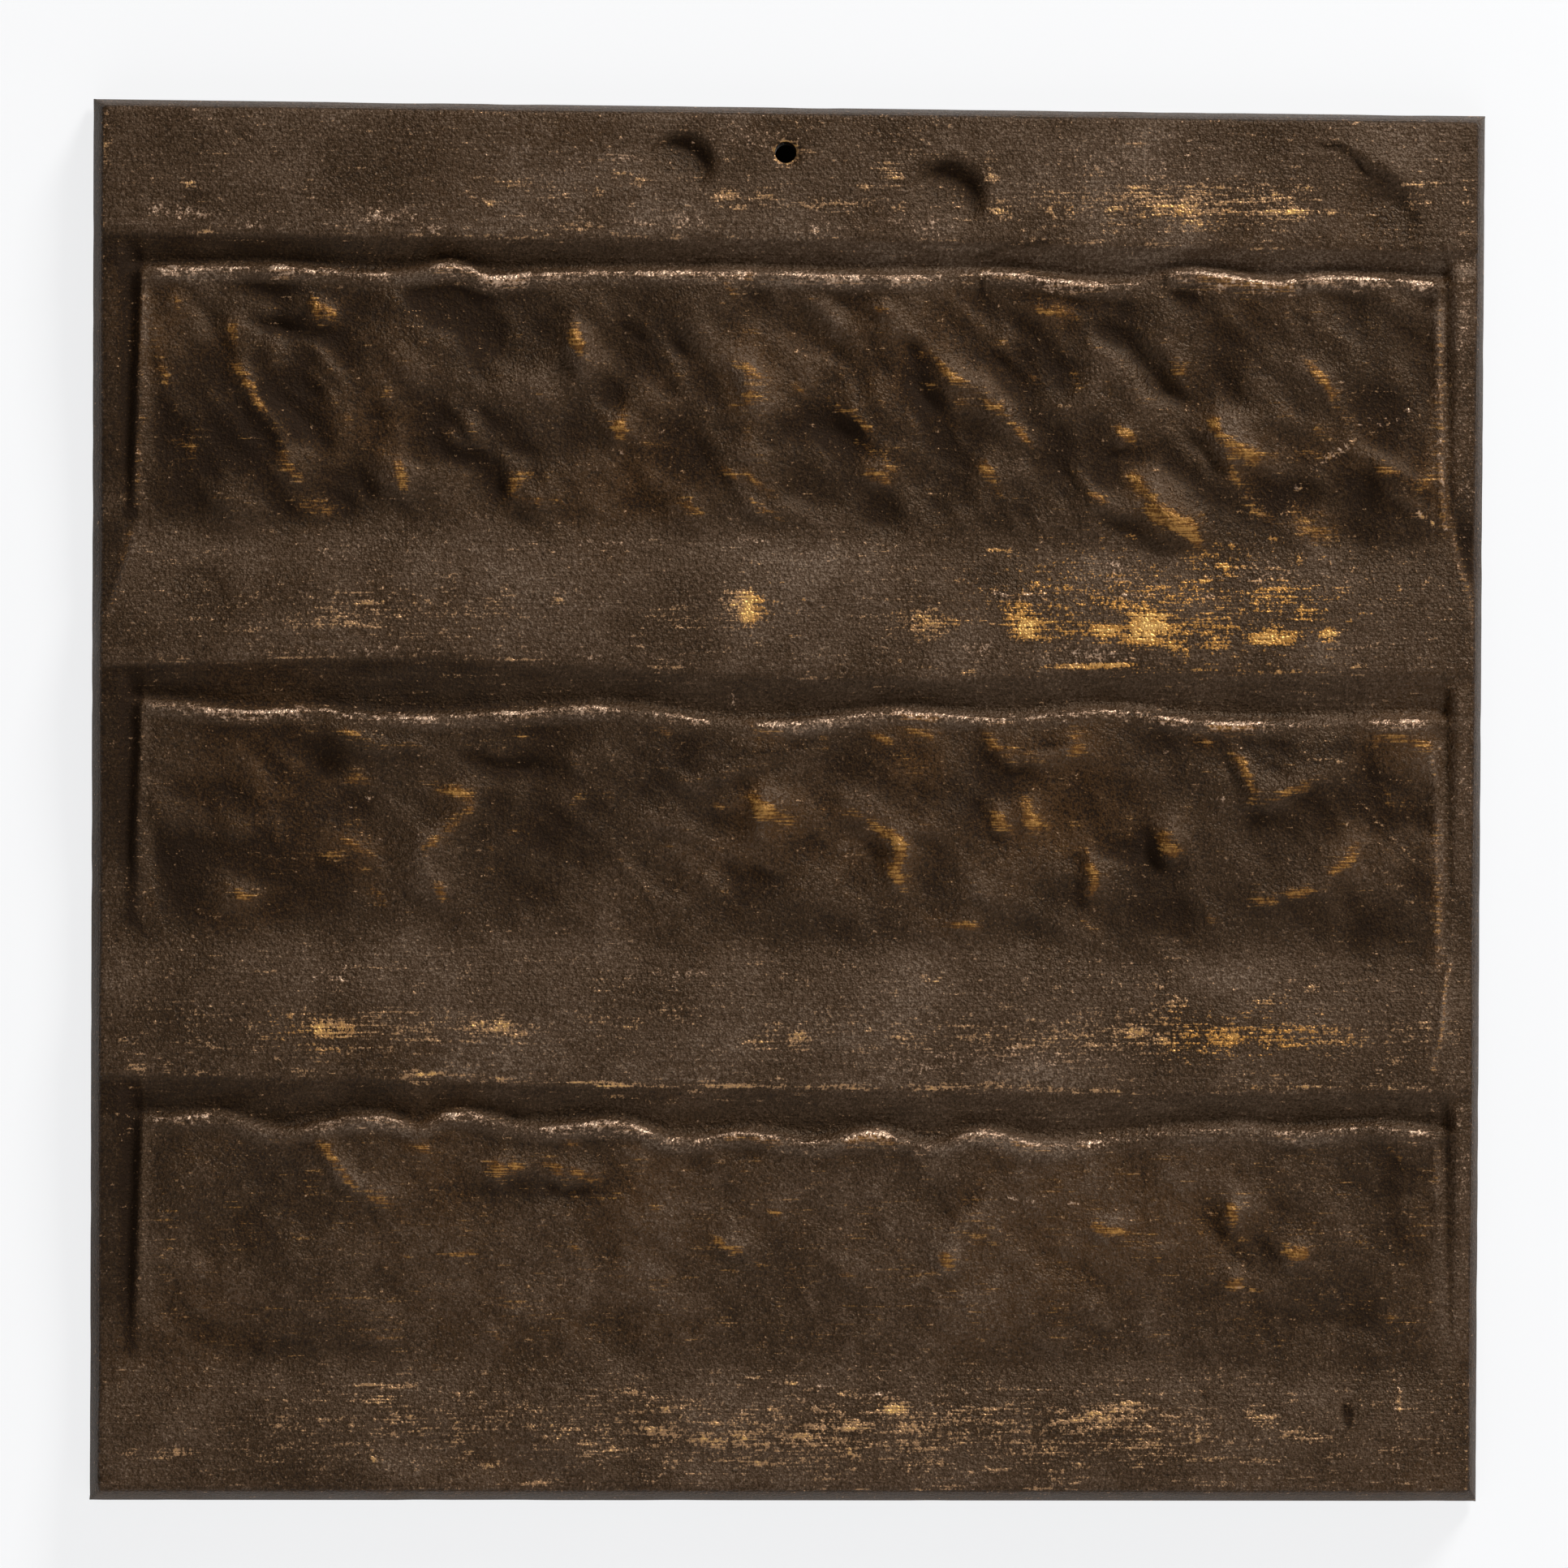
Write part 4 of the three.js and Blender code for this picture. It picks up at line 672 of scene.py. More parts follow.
def with_sides(x, z, inner):
    """The inner height, with grooves cut beside the fields and the strips beyond them sloping down."""
    down, opening = groove_opening(x, z)
    result = inner
    for side in (LEFT, RIGHT):
        out = side["side"]
        panel = side["panel"] + out * side["narrowing"] * down
        beyond = out * (x - side["strip"])
        fall = STRIP_DROP * np.clip(beyond / STRIP_WIDTH, 0, 1) * mix(0.5, 1, opening)
        strip = mix(BRINK, STRIP_FOOT, smoothstep(0, 0.9, down))
        across = np.clip((x - panel) / (side["strip"] - panel), 0, 1)
        deep = side["groove"] * mix(1, GROOVE_END_DEPTH, down)
        deep = deep * mix(GROOVE_START_DEPTH, 1, smoothstep(0, GROOVE_FULL, down))
        groove = deep * (1 - (2 * across - 1) ** 2) ** 1.5
        height = mix(inner, strip, smoothstep(0, 1, across)) - groove
        result = np.where(out * x > 0, mix(inner, height, opening) - fall, result)
    return result


def past_band_end(x, z, side, start, end):
    """How far down a band's slanting end a point is, from 0 to 1, and how far outside it."""
    down = (start[1] - z) / (start[1] - end[1])
    return down, side * (x - mix(start[0], end[0], down))


def band_end_step(x, z):
    drop = np.zeros(x.shape)
    for side, start, end, step, _ in BAND_ENDS:
        down, outside = past_band_end(x, z, side, start, end)
        strength = smoothstep(0, 0.3, down) * (1 - smoothstep(0.5, 1, down))
        drop += step * strength * smoothstep(-0.3, 1.2, outside)
    return drop


# ---- height of the front: folds, lumps, dents and pits ----

def rounded(path, steps=4):
    """The points of a path, with its corners rounded."""
    p = [np.array(q, float) for q in zip(path[::2], path[1::2])]
    if len(p) == 2:
        return p
    p = [2 * p[0] - p[1]] + p + [2 * p[-1] - p[-2]]
    points = []
    for a, b, c, d in zip(p, p[1:], p[2:], p[3:]):
        for s in range(steps):
            t = s / steps
            points.append(0.5 * (2 * b + (c - a) * t + (2 * a - 5 * b + 4 * c - d) * t * t
                                 + (3 * b - a - 3 * c + d) * t ** 3))
    return points + [p[-2]]


def near_path(path, x, z):
    """Distance to the path, positive on its upper right, distance past its ends, and share of it run."""
    points = rounded(path)
    lengths = [math.dist(a, b) for a, b in zip(points, points[1:])]
    whole = points[-1] - points[0]
    lit_side = 1 if whole[0] - LIGHT_SLANT * whole[1] > 0 else -1
    best = np.full(x.shape, np.inf)
    side, past, share = np.zeros(x.shape), np.zeros(x.shape), np.zeros(x.shape)
    run = 0
    for n, (a, b, length) in enumerate(zip(points, points[1:], lengths)):
        u = (b - a) / length
        raw = (x - a[0]) * u[0] + (z - a[1]) * u[1]
        t = np.clip(raw, 0, length)
        across = ((z - a[1]) * u[0] - (x - a[0]) * u[1]) * lit_side
        distance = np.hypot(across, raw - t)
        before = -raw if n == 0 else 0
        after = raw - length if n == len(lengths) - 1 else 0
        over = strongest(before, after, 0)
        closer = distance < best
        best = np.where(closer, distance, best)
        side = np.where(closer, np.where(over > 0, across, np.sign(across) * distance), side)
        past = np.where(closer, over, past)
        share = np.where(closer, (run + t) / sum(lengths), share)
        run += length
    return side, past, share


def window(path, reach, x, z):
    """The part of the grid within reach of the path."""
    xs, zs = path[::2], path[1::2]
    return (x > min(xs) - reach) & (x < max(xs) + reach) & (z > min(zs) - reach) & (z < max(zs) + reach)


def line_mask(path, half_width, x, z):
    mask = np.zeros(x.shape)
    here = window(path, 4 * half_width + 1, x, z)
    side, past, _ = near_path(path, x[here], z[here])
    mask[here] = np.exp(-((side / half_width) ** 2) - (past / half_width) ** 2)
    return mask


def squared_distance(cx, cz, half_x, half_z, x, z):
    """The square of the distance from a centre, 1 at the half width and the half height."""
    return ((x - cx) / half_x) ** 2 + ((z - cz) / half_z) ** 2


def fold_height(x, z):
    height = np.zeros(x.shape)
    worn = [(WORN_RISE * wear, WORN_STEEP, WORN_STEEP + half_width, *path)
            for half_width, wear, *path in AMBER]
    for rise, steep, gentle, *path in FOLDS + worn:
        here = window(path, 5 * gentle + 2, x, z)
        side, past, share = near_path(path, x[here], z[here])
        width = np.where(side < 0, steep, gentle)
        taper = mix(FOLD_TAPER, 1, np.sin(math.pi * share))
        away = (np.hypot(side, FOLD_ROUND) - FOLD_ROUND) / width
        height[here] += rise * taper * np.exp(-away - (past / FOLD_END) ** 2)
    for deep, half_width, *path in TROUGHS:
        height -= deep * line_mask(path, half_width, x, z)
    for *zone, rise in LUMPS:
        height += rise * np.exp(-squared_distance(*zone, x, z))
    return height


def dent_depth(x, z):
    """Round hollows whose upper right edge is the sharp one, and small pits."""
    depth = np.zeros(x.shape)
    for cx, cz, radius, deep in DENTS:
        across, up = (x - cx) / radius, (z - cz) / radius
        inside = 1 - smoothstep(*DENT_RIM, np.hypot(across, up))
        depth += deep * inside * np.clip(0.45 + 0.3 * across + 0.65 * up, 0, 1)
    for *zone, deep in PITS:
        depth += deep * np.exp(-squared_distance(*zone, x, z) ** 2)
    return depth


# ---- the casting's own unevenness ----

def crumple(x, z):
    """Soft folds that run down to the right, strongest in the first field."""
    down_right, up_right = DIAGONAL * (x - z), DIAGONAL * (x + z)
    strength = 0.45 + 0.35 * smoothstep(20, 55, z) + 0.15 * smoothstep(-50, -10, z)
    big = noise(down_right, 2.2 * up_right, 26, 3)
    mid = noise(down_right, 1.8 * up_right, 12, 4)
    small = noise(down_right, 1.5 * up_right, 6, 5)
    bent_x, bent_z = down_right + 3 * mid, up_right + 3 * big
    ridges = 0.3 - np.abs(noise(bent_x, 1.7 * bent_z, 19, 12))
    wrinkles = 0.3 - np.abs(noise(bent_x, 1.5 * bent_z, 9, 13))
    return strength * (0.9 * big + 0.7 * mid + 0.3 * small + 1.5 * ridges + 0.8 * wrinkles)


def cast_grain(x, z):
    crumbs = np.exp(-squared_distance(*CRUMBLY, x, z))
    return 0.15 * noise(x, z, 4.2, 6) + 0.11 * noise(x, z, 2.2, 7) + 0.3 * crumbs * noise(x, z, 2.6, 11)


def in_fields(x, z):
    """1 inside the three fields, 0 on the bands, slopes and side grooves."""
    inside = np.zeros(x.shape)
    for tier in tiers(x):
        inside += (smoothstep(tier.crest - 0.5, tier.crest - 4, z)
                   * smoothstep(tier.crease - 4, tier.crease + 4, z))
    return inside * smoothstep(*FIELD_LEFT, x) * smoothstep(*FIELD_RIGHT, x)


def warped(value, x, z, seeds):
    """A coordinate moved about by up to 2 mm, so that the folds don't run straight."""
    return value + 1.3 * noise(x, z, 11, seeds[0]) + 0.5 * noise(x, z, 4, seeds[1])


def modelling(x, z):
    """What stands above the tiers' plain profile: folds, dents, crumpling, cast unevenness and seams."""
    sides = (smoothstep(LEFT["panel"] - 0.5, LEFT["panel"] + 2, x)
             * smoothstep(RIGHT["panel"] + 0.5, RIGHT["panel"] - 2, x))
    fields = in_fields(x, z)
    height = fold_height(warped(x, x, z, (1, 8)), warped(z, x, z, (2, 9))) * sides - dent_depth(x, z)
    height = height + crumple(x, z) * fields + cast_grain(x, z) * (0.4 + 0.6 * fields) * sides
    height = height + 0.22 * noise(0.6 * x, z, 12, 10) * sides
    seams = [(rise, half_width, *path) for rise, half_width, _, *path in SEAMS]
    for rise, half_width, *path in BEADS + seams:
        height = height + rise * line_mask(path, half_width, x, z)
    return height


# ---- grid of the front ----

# The columns, left to right: from, to, cells.
COLUMNS = [(-124, -114.5, 20), (-114.5, 0, 129), (0, 117, 131), (117, 124, 16)]
MIDDLE_COLUMN = COLUMNS[0][2] + COLUMNS[1][2]
ROWS = {"top": 9, "under_hole": 16, "slope": 9, "roll_up": 4, "roll_down": 5,
        "field": [45, 40, 40], "band": [25, 26, 25]}
EDGE_ROUNDING = 0.45
HOLE_CELLS = 4  # half width, in cells, of the square of grid that makes way for the hole
HOLE_BLEND = 4  # cells over which the grid passes from the round hole to its own rows
HOLE_RING = 0.75  # from one circle round the hole to the next


def spread(stops):
    """Values in even steps between stops of (from, to, cells)."""
    values = [np.linspace(a, b, cells, endpoint=False) for a, b, cells in stops]
    return np.concatenate(values + [[stops[-1][1]]])


def side_edge(bottom, top, inset, z):
    """The x of the front's left or right edge: the line from corner to corner, moved by the inset."""
    return mix(bottom[0], top[0], (z + SPAN / 2) / SPAN) + inset


def grid_points():
    """X and Z of the front's grid, whose rows follow the tiers' lines from the top down."""
    x = spread(COLUMNS)
    share = (x - x[0]) / (x[-1] - x[0])
    rows = [mix(TOP_LEFT[1], TOP_RIGHT[1], share) - DRAFT["top"] - EDGE_ROUNDING]

    def step(line, cells):
        start = rows[-1]
        rows.extend(mix(start, line, (k + 1) / cells) for k in range(cells))

    step(HOLE["z"] + 0 * x, ROWS["top"])
    for i, tier in enumerate(tiers(x)):
        step(tier.brink, ROWS["band"][i - 1] if i else ROWS["under_hole"])
        step(tier.crest + ROLL_UP, ROWS["slope"])
        step(tier.crest, ROWS["roll_up"])
        step(tier.crest - ROLL_DOWN, ROWS["roll_down"])
        step(tier.crease, ROWS["field"][i])
    step(mix(BOTTOM_LEFT[1], BOTTOM_RIGHT[1], share) + DRAFT["bottom"] + EDGE_ROUNDING, ROWS["band"][-1])
    z = np.array(rows)
    left = side_edge(BOTTOM_LEFT, TOP_LEFT, DRAFT["left"] + EDGE_ROUNDING, z)
    right = side_edge(BOTTOM_RIGHT, TOP_RIGHT, -DRAFT["right"] - EDGE_ROUNDING, z)
    return round_hole(mix(left, right, share), z)


def rings_from_hole(shape):
    """Each point's place round the hole, in cells: its square ring, and how far down and right it is."""
    rows, columns = np.indices(shape)
    down, right = rows - ROWS["top"], columns - MIDDLE_COLUMN
    return np.maximum(abs(down), abs(right)), down, right


def round_hole(x, z):
    """Pulls the grid round the hole into circles."""
    ring, down, right = rings_from_hole(x.shape)
    length = np.maximum(np.hypot(down, right), 1e-6)
    out = np.clip((ring - HOLE_CELLS) / HOLE_BLEND, 0, 1)
    radius = HOLE["radius"] + HOLE_RING * (ring - HOLE_CELLS)
    near = (ring >= HOLE_CELLS) & (ring < HOLE_CELLS + HOLE_BLEND)
    x = np.where(near, mix(HOLE["x"] + radius * right / length, x, out), x)
    z = np.where(near, mix(HOLE["z"] - radius * down / length, z, out), z)
    return x, z


# ---- what the material reads from the relief ----

def ellipses(zones, x, z):
    """The strongest of the zones at each point."""
    return strongest(*(amount * np.exp(-ZONE_FADE * squared_distance(*zone, x, z))
                       for *zone, amount in zones))


def strokes(lines, x, z):
    """The strongest of the lines at each point."""
    return strongest(*(amount * line_mask(path, half_width, x, z) for half_width, amount, *path in lines))


def slope_mask(tier, z):
    """1 on the slope from a tier's brink to its rolled edge, 0 off it."""
    return (smoothstep(tier.brink + 0.3, tier.brink - 1.2, z)
            * smoothstep(tier.crest + 0.6, tier.crest + 1.8, z))


def rolled_edge_shine(x, z):
    """Rubbed metal under a painted highlight on the rolled edges, patchy along them: a pale line, and golden
    metal beside it.
    """
    pale, golden = np.zeros(x.shape), np.zeros(x.shape)
    for i, tier in enumerate(tiers(x)):
        swell = np.clip(tier.swell, 0, 1)
        patch = np.full(x.shape, 0.5)
        for start, stop, strength in tier.shine:
            patch = np.maximum(patch, strength * stretch(start, stop, x))
        for start, stop in tier.gaps:
            patch = patch * (1 - 0.55 * stretch(start, stop, x))
        patch = patch * (0.9 + 0.3 * wave(x, 2.5, 24 + i)) * stretch(*ROLL_ENDS, x, 1)
        wander = 0.35 * wave(x, 3.5, 21 + i) + 0.2 * wave(x, 1.2, 27 + i)
        above = z - tier.crest - LIT_ABOVE - wander
        # A painted highlight over rubbed metal: a thin pale line just above the crest and a wider glow below
        # it.
        line = patch * bell(above, 0.36 * (1 + 0.35 * wave(x, 2, 44 + i)) + 0.15 * swell)
        glow = patch * bell(above + 0.7, np.where(above > -0.7, 0.8, 0.9 + 1.5 * swell))
        pale = strongest(pale, tier.pale_line * line, tier.pale_glow * glow)
        golden = np.maximum(golden, 0.45 * glow)
        for start, stop in tier.golden:
            golden = np.maximum(golden, 0.85 * stretch(start, stop, x) * glow)
    return pale, golden


def rolled_edge_tone(x, z):
    """Painted light and shade along each rolled edge: a shaded line above it, its lit body, and a shadow
    under the fullest swells.
    """
    tone = np.zeros(x.shape)
    for i, tier in enumerate(tiers(x)):
        below = tier.crest + LIT_ABOVE - z
        full = np.clip(0.35 + tier.swell, 0, 1) * stretch(*ROLL_ENDS, x, 1)
        patchy = np.clip(0.6 + 0.6 * wave(x, 5, 61 + i), 0, 1.2)
        body = 0.26 * bell(below - 1.2 - 0.4 * tier.swell, 1.1)
        shadow = 0.28 * patchy * bell(below - 3.2 - 0.9 * tier.swell, 0.7)
        tone = tone + full * (body - shadow - 0.16 * bell(below + 1.5, 0.6))
    return tone


def gold_wear(x, z, fields):
    """Metal showing on the bands: rubbed patches, streaks, seams, brinks, the hole's rim and specks."""
    rubbed = ellipses(RUBBED, x, z) * (0.92 + 0.25 * noise(0.5 * x, z, 4, 32))
    seams = [(half_width, wear, *path) for _, half_width, wear, *path in SEAMS]
    from_hole = np.hypot(x - HOLE["x"], z - HOLE["z"])
    rim = 0.95 * bell(from_hole - HOLE["radius"] - 0.15, 0.35)
    brinks = np.zeros(x.shape)
    specks = BAND_SPECKS * (1 - fields) * np.clip(0.7 + 0.4 * noise(x, z, 18, 51), 0.3, 1.1)
    for i, tier in enumerate(tiers(x)):
        specks = specks * (1 - 0.8 * slope_mask(tier, z))
        patchy = np.clip(0.45 + 0.5 * wave(x, 9, 54 + i), 0, 0.8) * stretch(-112, 116, x, 3)
        brinks = np.maximum(brinks, patchy * bell(z - tier.brink - 0.4, 0.45))
    for side in (LEFT, RIGHT):
        specks = specks * smoothstep(side["strip"], side["strip"] - side["side"] * SPECKLESS, x)
    return strongest(rubbed, strokes(STREAKS + seams, x, z), brinks, rim, specks)


def patina_and_painted_light_tone(x, z, fields, lowest, relief, edges):
    """Patina with painted light and shade, from 0 in black hollows to 1 on the palest patina: about 0.3 on
    the fields and 0.6 on the bands.
    """
    middle, broad = (relief - blur(relief, passes) for passes in (60, 260))
    raised = fields * np.clip(0.9 * middle + 0.5 * broad, -1, 1)
    lighter_below = 0.11 * smoothstep(0, -80, z) - 0.03 * smoothstep(-60, 60, -x) * smoothstep(0, 60, z)
    tone = 0.60 - (0.275 - lighter_below) * fields
    # Hollows darker and raised folds lighter: partly patina held in the hollows, partly painted shade and
    # light in place of the relief's shading.
    tone = tone + 0.20 * np.minimum(raised, 0) + 0.22 * np.maximum(raised, 0)
    # Darker in the patina's clouds and in painted shade at the dents and the bead's foot; lighter in the
    # swaths.
    tone = tone - 0.3 * ellipses(DARK_CLOUDS_AND_SHADE, x, z) + 0.3 * ellipses(LIGHTER, x, z)
    tone = tone + 0.18 * noise(x, z, 22, 31) + 0.13 * noise(x, z, 8, 33)
    for i, tier in enumerate(tiers(x)):
        slope_tone = mix(*tier.slope_tones, smoothstep(-90, 60, x)) + 0.1 * noise(0.3 * x, z, 2.5, 34 + i)
        tone = mix(tone, slope_tone, slope_mask(tier, z))
    tone = tone + 0.11 * lowest * noise(x, z, 2.4, 72)
    # The rolled edges' painted light and shade, panel edges lighter, and painted shade in the dents.
    tone = tone + rolled_edge_tone(x, z) + 0.42 * edges - 0.2 * np.clip(dent_depth(x, z), 0, 2)
    # Dark cracks, and painted shade in the left grooves.
    tone = tone * (1 - strokes(CRACKS, x, z)) * (1 - strokes(GROOVE_SHADE, x, z))
    tone = tone - (0.05 + 0.04 * fields) * smoothstep(-55, -105, x)
    return side_tones(x, z, tone)


def side_tones(x, z, tone):
    """The tone with painted shade in the left grooves (black), beyond the bands' ends and in the right
    groove, the right strip a little darker, and a painted highlight along that strip's inner edge.
    """
    down, opening = groove_opening(x, z)
    # Painted shade: the left grooves go black.
    black = opening * (1 - smoothstep(-0.6, 0.2, x - LEFT["panel"] + LEFT["narrowing"] * down))
    black = black * mix(0.45, 1, smoothstep(LEFT["strip"] - 0.6, LEFT["strip"] + 0.6, x))
    tone = tone * (1 - black)
    # Painted shadow beyond each band's slanting end.
    for side, start, end, _, dark in BAND_ENDS:
        along_end, outside = past_band_end(x, z, side, start, end)
        shaded = smoothstep(-0.2, 0.1, along_end) * (1 - smoothstep(0.6, 1.1, along_end))
        tone = tone - dark * shaded * smoothstep(0, 0.8, outside)
    in_groove = x - RIGHT["panel"] - RIGHT["narrowing"] * down - 1.3
    on_strip = x - RIGHT["strip"] - 1.0
    # Painted shade in the right groove, and the right strip a little darker.
    tone = tone - 0.34 * opening * bell(in_groove, 0.5) - 0.11 * smoothstep(-1.4, -0.4, on_strip)
    # A painted highlight along the right strip's inner edge.
    return tone + 0.16 * opening * (1 - down) * bell(on_strip, 1.0)


def surface_marks(x, z, relief):
    """The mesh's attributes, which the bronze reads: wear by its colour, stains, tone with painted light and
    shade, pale metal with painted highlights, and brushing.
    """
    fields = in_fields(x, z)
    lowest = fields * smoothstep(*LOWEST_FIELD, z)
    edges, worn = strokes(PANEL_EDGES, x, z), strokes(AMBER, x, z)
    crests = np.clip(3.5 * (relief - blur(relief, 8)), 0, 1)
    pale_line, golden_line = rolled_edge_shine(x, z)
    amber = strongest(worn * (0.57 + 0.3 * crests) + 0.26 * crests * fields, 0.7 * edges, golden_line,
                      lowest * (0.14 + 0.15 * noise(x, z, 7, 73)))
    rust = np.clip(3.2 * blur(worn, 60) + 0.5 * worn + 1.2 * blur(edges, 12), 0, 1)
    return {
        "gold": gold_wear(x, z, fields),
        "warmth": ellipses(GOLDEN, x, z),
        "amber": amber,
        "rust": np.maximum(rust, 0.8 * fields * ellipses(REDDISH, x, z)),
        # shine: painted highlights on the rolled edges and the right strip over rubbed metal, pale specks,
        # panel edges and bright scratches.
        "shine": strongest(pale_line, 0.8 * ellipses(PALE, x, z), 0.42 * edges, strokes(SCRATCHES, x, z)),
        "tone": np.clip(patina_and_painted_light_tone(x, z, fields, lowest, relief, edges), 0, 1),
        "brushed": 1 - fields,
    }


# ---- the mesh ----

# Each wall from the front's edge to the back's: share of the way, and distance inside the straight line.
SIDE_WALL = [
    (0.03, 0.2), (0.07, 0.05), (0.13, 0.0), (0.18, 0.14), (0.23, 0.0), (0.6, 0.03), (0.95, 0.0), (1.0, 0.12),
]
HOLE_WALL = [(0.04, -0.12), (0.1, -0.02), (0.5, 0.02), (0.9, 0.0), (1.0, -0.1)]
WALL_TONE = 0.28
NICK_DEPTH = 0.12
HOLE_RIM_DROP, HOLE_RIM_WIDTH = 0.3, 0.5


def border_of(index):
    """The grid's border, anticlockwise seen from the front."""
    return np.concatenate([index[:-1, 0], index[-1, :-1], index[:0:-1, -1], index[0, :0:-1]])


class Shell:
    """The front's points, marks and quads, and the walls that are added to them."""

    def __init__(self, points, marks, quads):
        self.points, self.quads = [points], [quads]
        self.marks = {name: [mark] for name, mark in marks.items()}

    def add_wall(self, border, start, end, inward, steps, brushed):
        """Joins a closed border of the front to its image at the back, and returns the last ring."""
        for share, inset in steps:
            ring = sum(map(len, self.points)) + np.arange(len(border))
            self.points.append(mix(start, end, share) + inset * inward)
            for name, parts in self.marks.items():
                value = {"tone": WALL_TONE, "brushed": brushed}.get(name, 0.0)
                parts.append(np.full(len(border), value))
            self.quads.append(np.stack([border, ring, np.roll(ring, -1), np.roll(border, -1)], 1))
            border = ring
        return border


def front_shell():
    """The front as a shell with a square of grid missing at the hole, and the indices of its points."""
    x, z = grid_points()
    relief = modelling(x, z)
    height = with_sides(x, z, tier_profile(x, z) + relief) - band_end_step(x, z)
    from_hole = np.hypot(x - HOLE["x"], z - HOLE["z"]) - HOLE["radius"]
    height = height - HOLE_RIM_DROP * np.exp(-np.maximum(from_hole, 0) / HOLE_RIM_WIDTH)
    kept = rings_from_hole(x.shape)[0] >= HOLE_CELLS
    index = np.full(x.shape, -1)
    index[kept] = np.arange(kept.sum())
    quads = np.stack([index[:-1, :-1], index[1:, :-1], index[1:, 1:], index[:-1, 1:]], 2).reshape(-1, 4)
    quads = quads[(quads >= 0).all(1)]
    marks = {name: mark[kept] for name, mark in surface_marks(x, z, relief).items()}
    return Shell(np.stack([x[kept], -height[kept], z[kept]], 1), marks, quads), index, x, z


def back_edge(x, z):
    """The place on the back's edge of each point of the front's border, and the way inward from it."""
    sides = [(TOP_LEFT, BOTTOM_LEFT, z[:, 0]), (BOTTOM_LEFT, BOTTOM_RIGHT, x[-1]),
             (BOTTOM_RIGHT, TOP_RIGHT, z[::-1, -1]), (TOP_RIGHT, TOP_LEFT, x[0, ::-1])]
    end, inward = [], []
    for (ax, az), (bx, bz), position in sides:
        t = ((position - position[0]) / (position[-1] - position[0]))[:-1, None]
        end.append(np.hstack([mix(ax, bx, t), 0 * t, mix(az, bz, t)]))
        length = math.hypot(bx - ax, bz - az)
        inward.append(np.tile([(az - bz) / length, 0, (bx - ax) / length], (len(t), 1)))
    end, inward = np.concatenate(end), np.concatenate(inward)
    nicks = noise(end[:, 0] + 0.7 * end[:, 2], end[:, 2], 9, 41)
    return end + inward * (NICK_DEPTH * np.clip(nicks, 0, 1))[:, None], inward


def add_hole_wall(shell, index):
    """The hole's wall, from its rim on the front to the back."""
    row, column, half = ROWS["top"], MIDDLE_COLUMN, HOLE_CELLS
    rim = border_of(index[row - half:row + half + 1, column - half:column + half + 1])[::-1]
    start = shell.points[0][rim]
    end = start * [1, 0, 1]
    outward = end - [HOLE["x"], 0, HOLE["z"]]
    outward = outward / np.linalg.norm(outward, axis=1)[:, None]
    return shell.add_wall(rim, start, end, -outward, HOLE_WALL, 0.0)


def flat_back(points, outer, inner):
    """Triangles between the back's outer edge and the hole."""
    found = tessellate_polygon([[Vector(p) for p in points[ring]] for ring in (outer, inner)])
    back = np.concatenate([outer, inner])[np.array(found)]
    a, b, c = (points[back[:, k]] for k in range(3))
    inside_out = np.cross(b - a, c - a)[:, 1] < 0
    back[inside_out] = back[inside_out][:, ::-1]
    return back


def plate_mesh():
    shell, index, x, z = front_shell()
    border = border_of(index)
    end, inward = back_edge(x, z)
    start = shell.points[0][border] - EDGE_ROUNDING * inward
    outer = shell.add_wall(border, start, end, inward, SIDE_WALL, 1.0)
    inner = add_hole_wall(shell, index)
    points, quads = np.concatenate(shell.points), np.concatenate(shell.quads)
    back = flat_back(points, outer, inner)
    mesh = bpy.data.meshes.new("relief_plate_bronze")
    mesh.from_pydata((points * MM).tolist(), [], quads.tolist() + back.tolist())
    for name, parts in shell.marks.items():
        attribute = mesh.attributes.new(name, "FLOAT", "POINT")
        attribute.data.foreach_set("value", np.concatenate(parts).astype(np.float32))
    mesh.shade_smooth()
    flat = mesh.attributes.new("sharp_face", "BOOLEAN", "FACE")
    flat.data.foreach_set("value", np.arange(len(mesh.polygons)) >= len(quads))
    mesh.validate()
    mesh.update()
    return mesh


# ---- the bronze ----

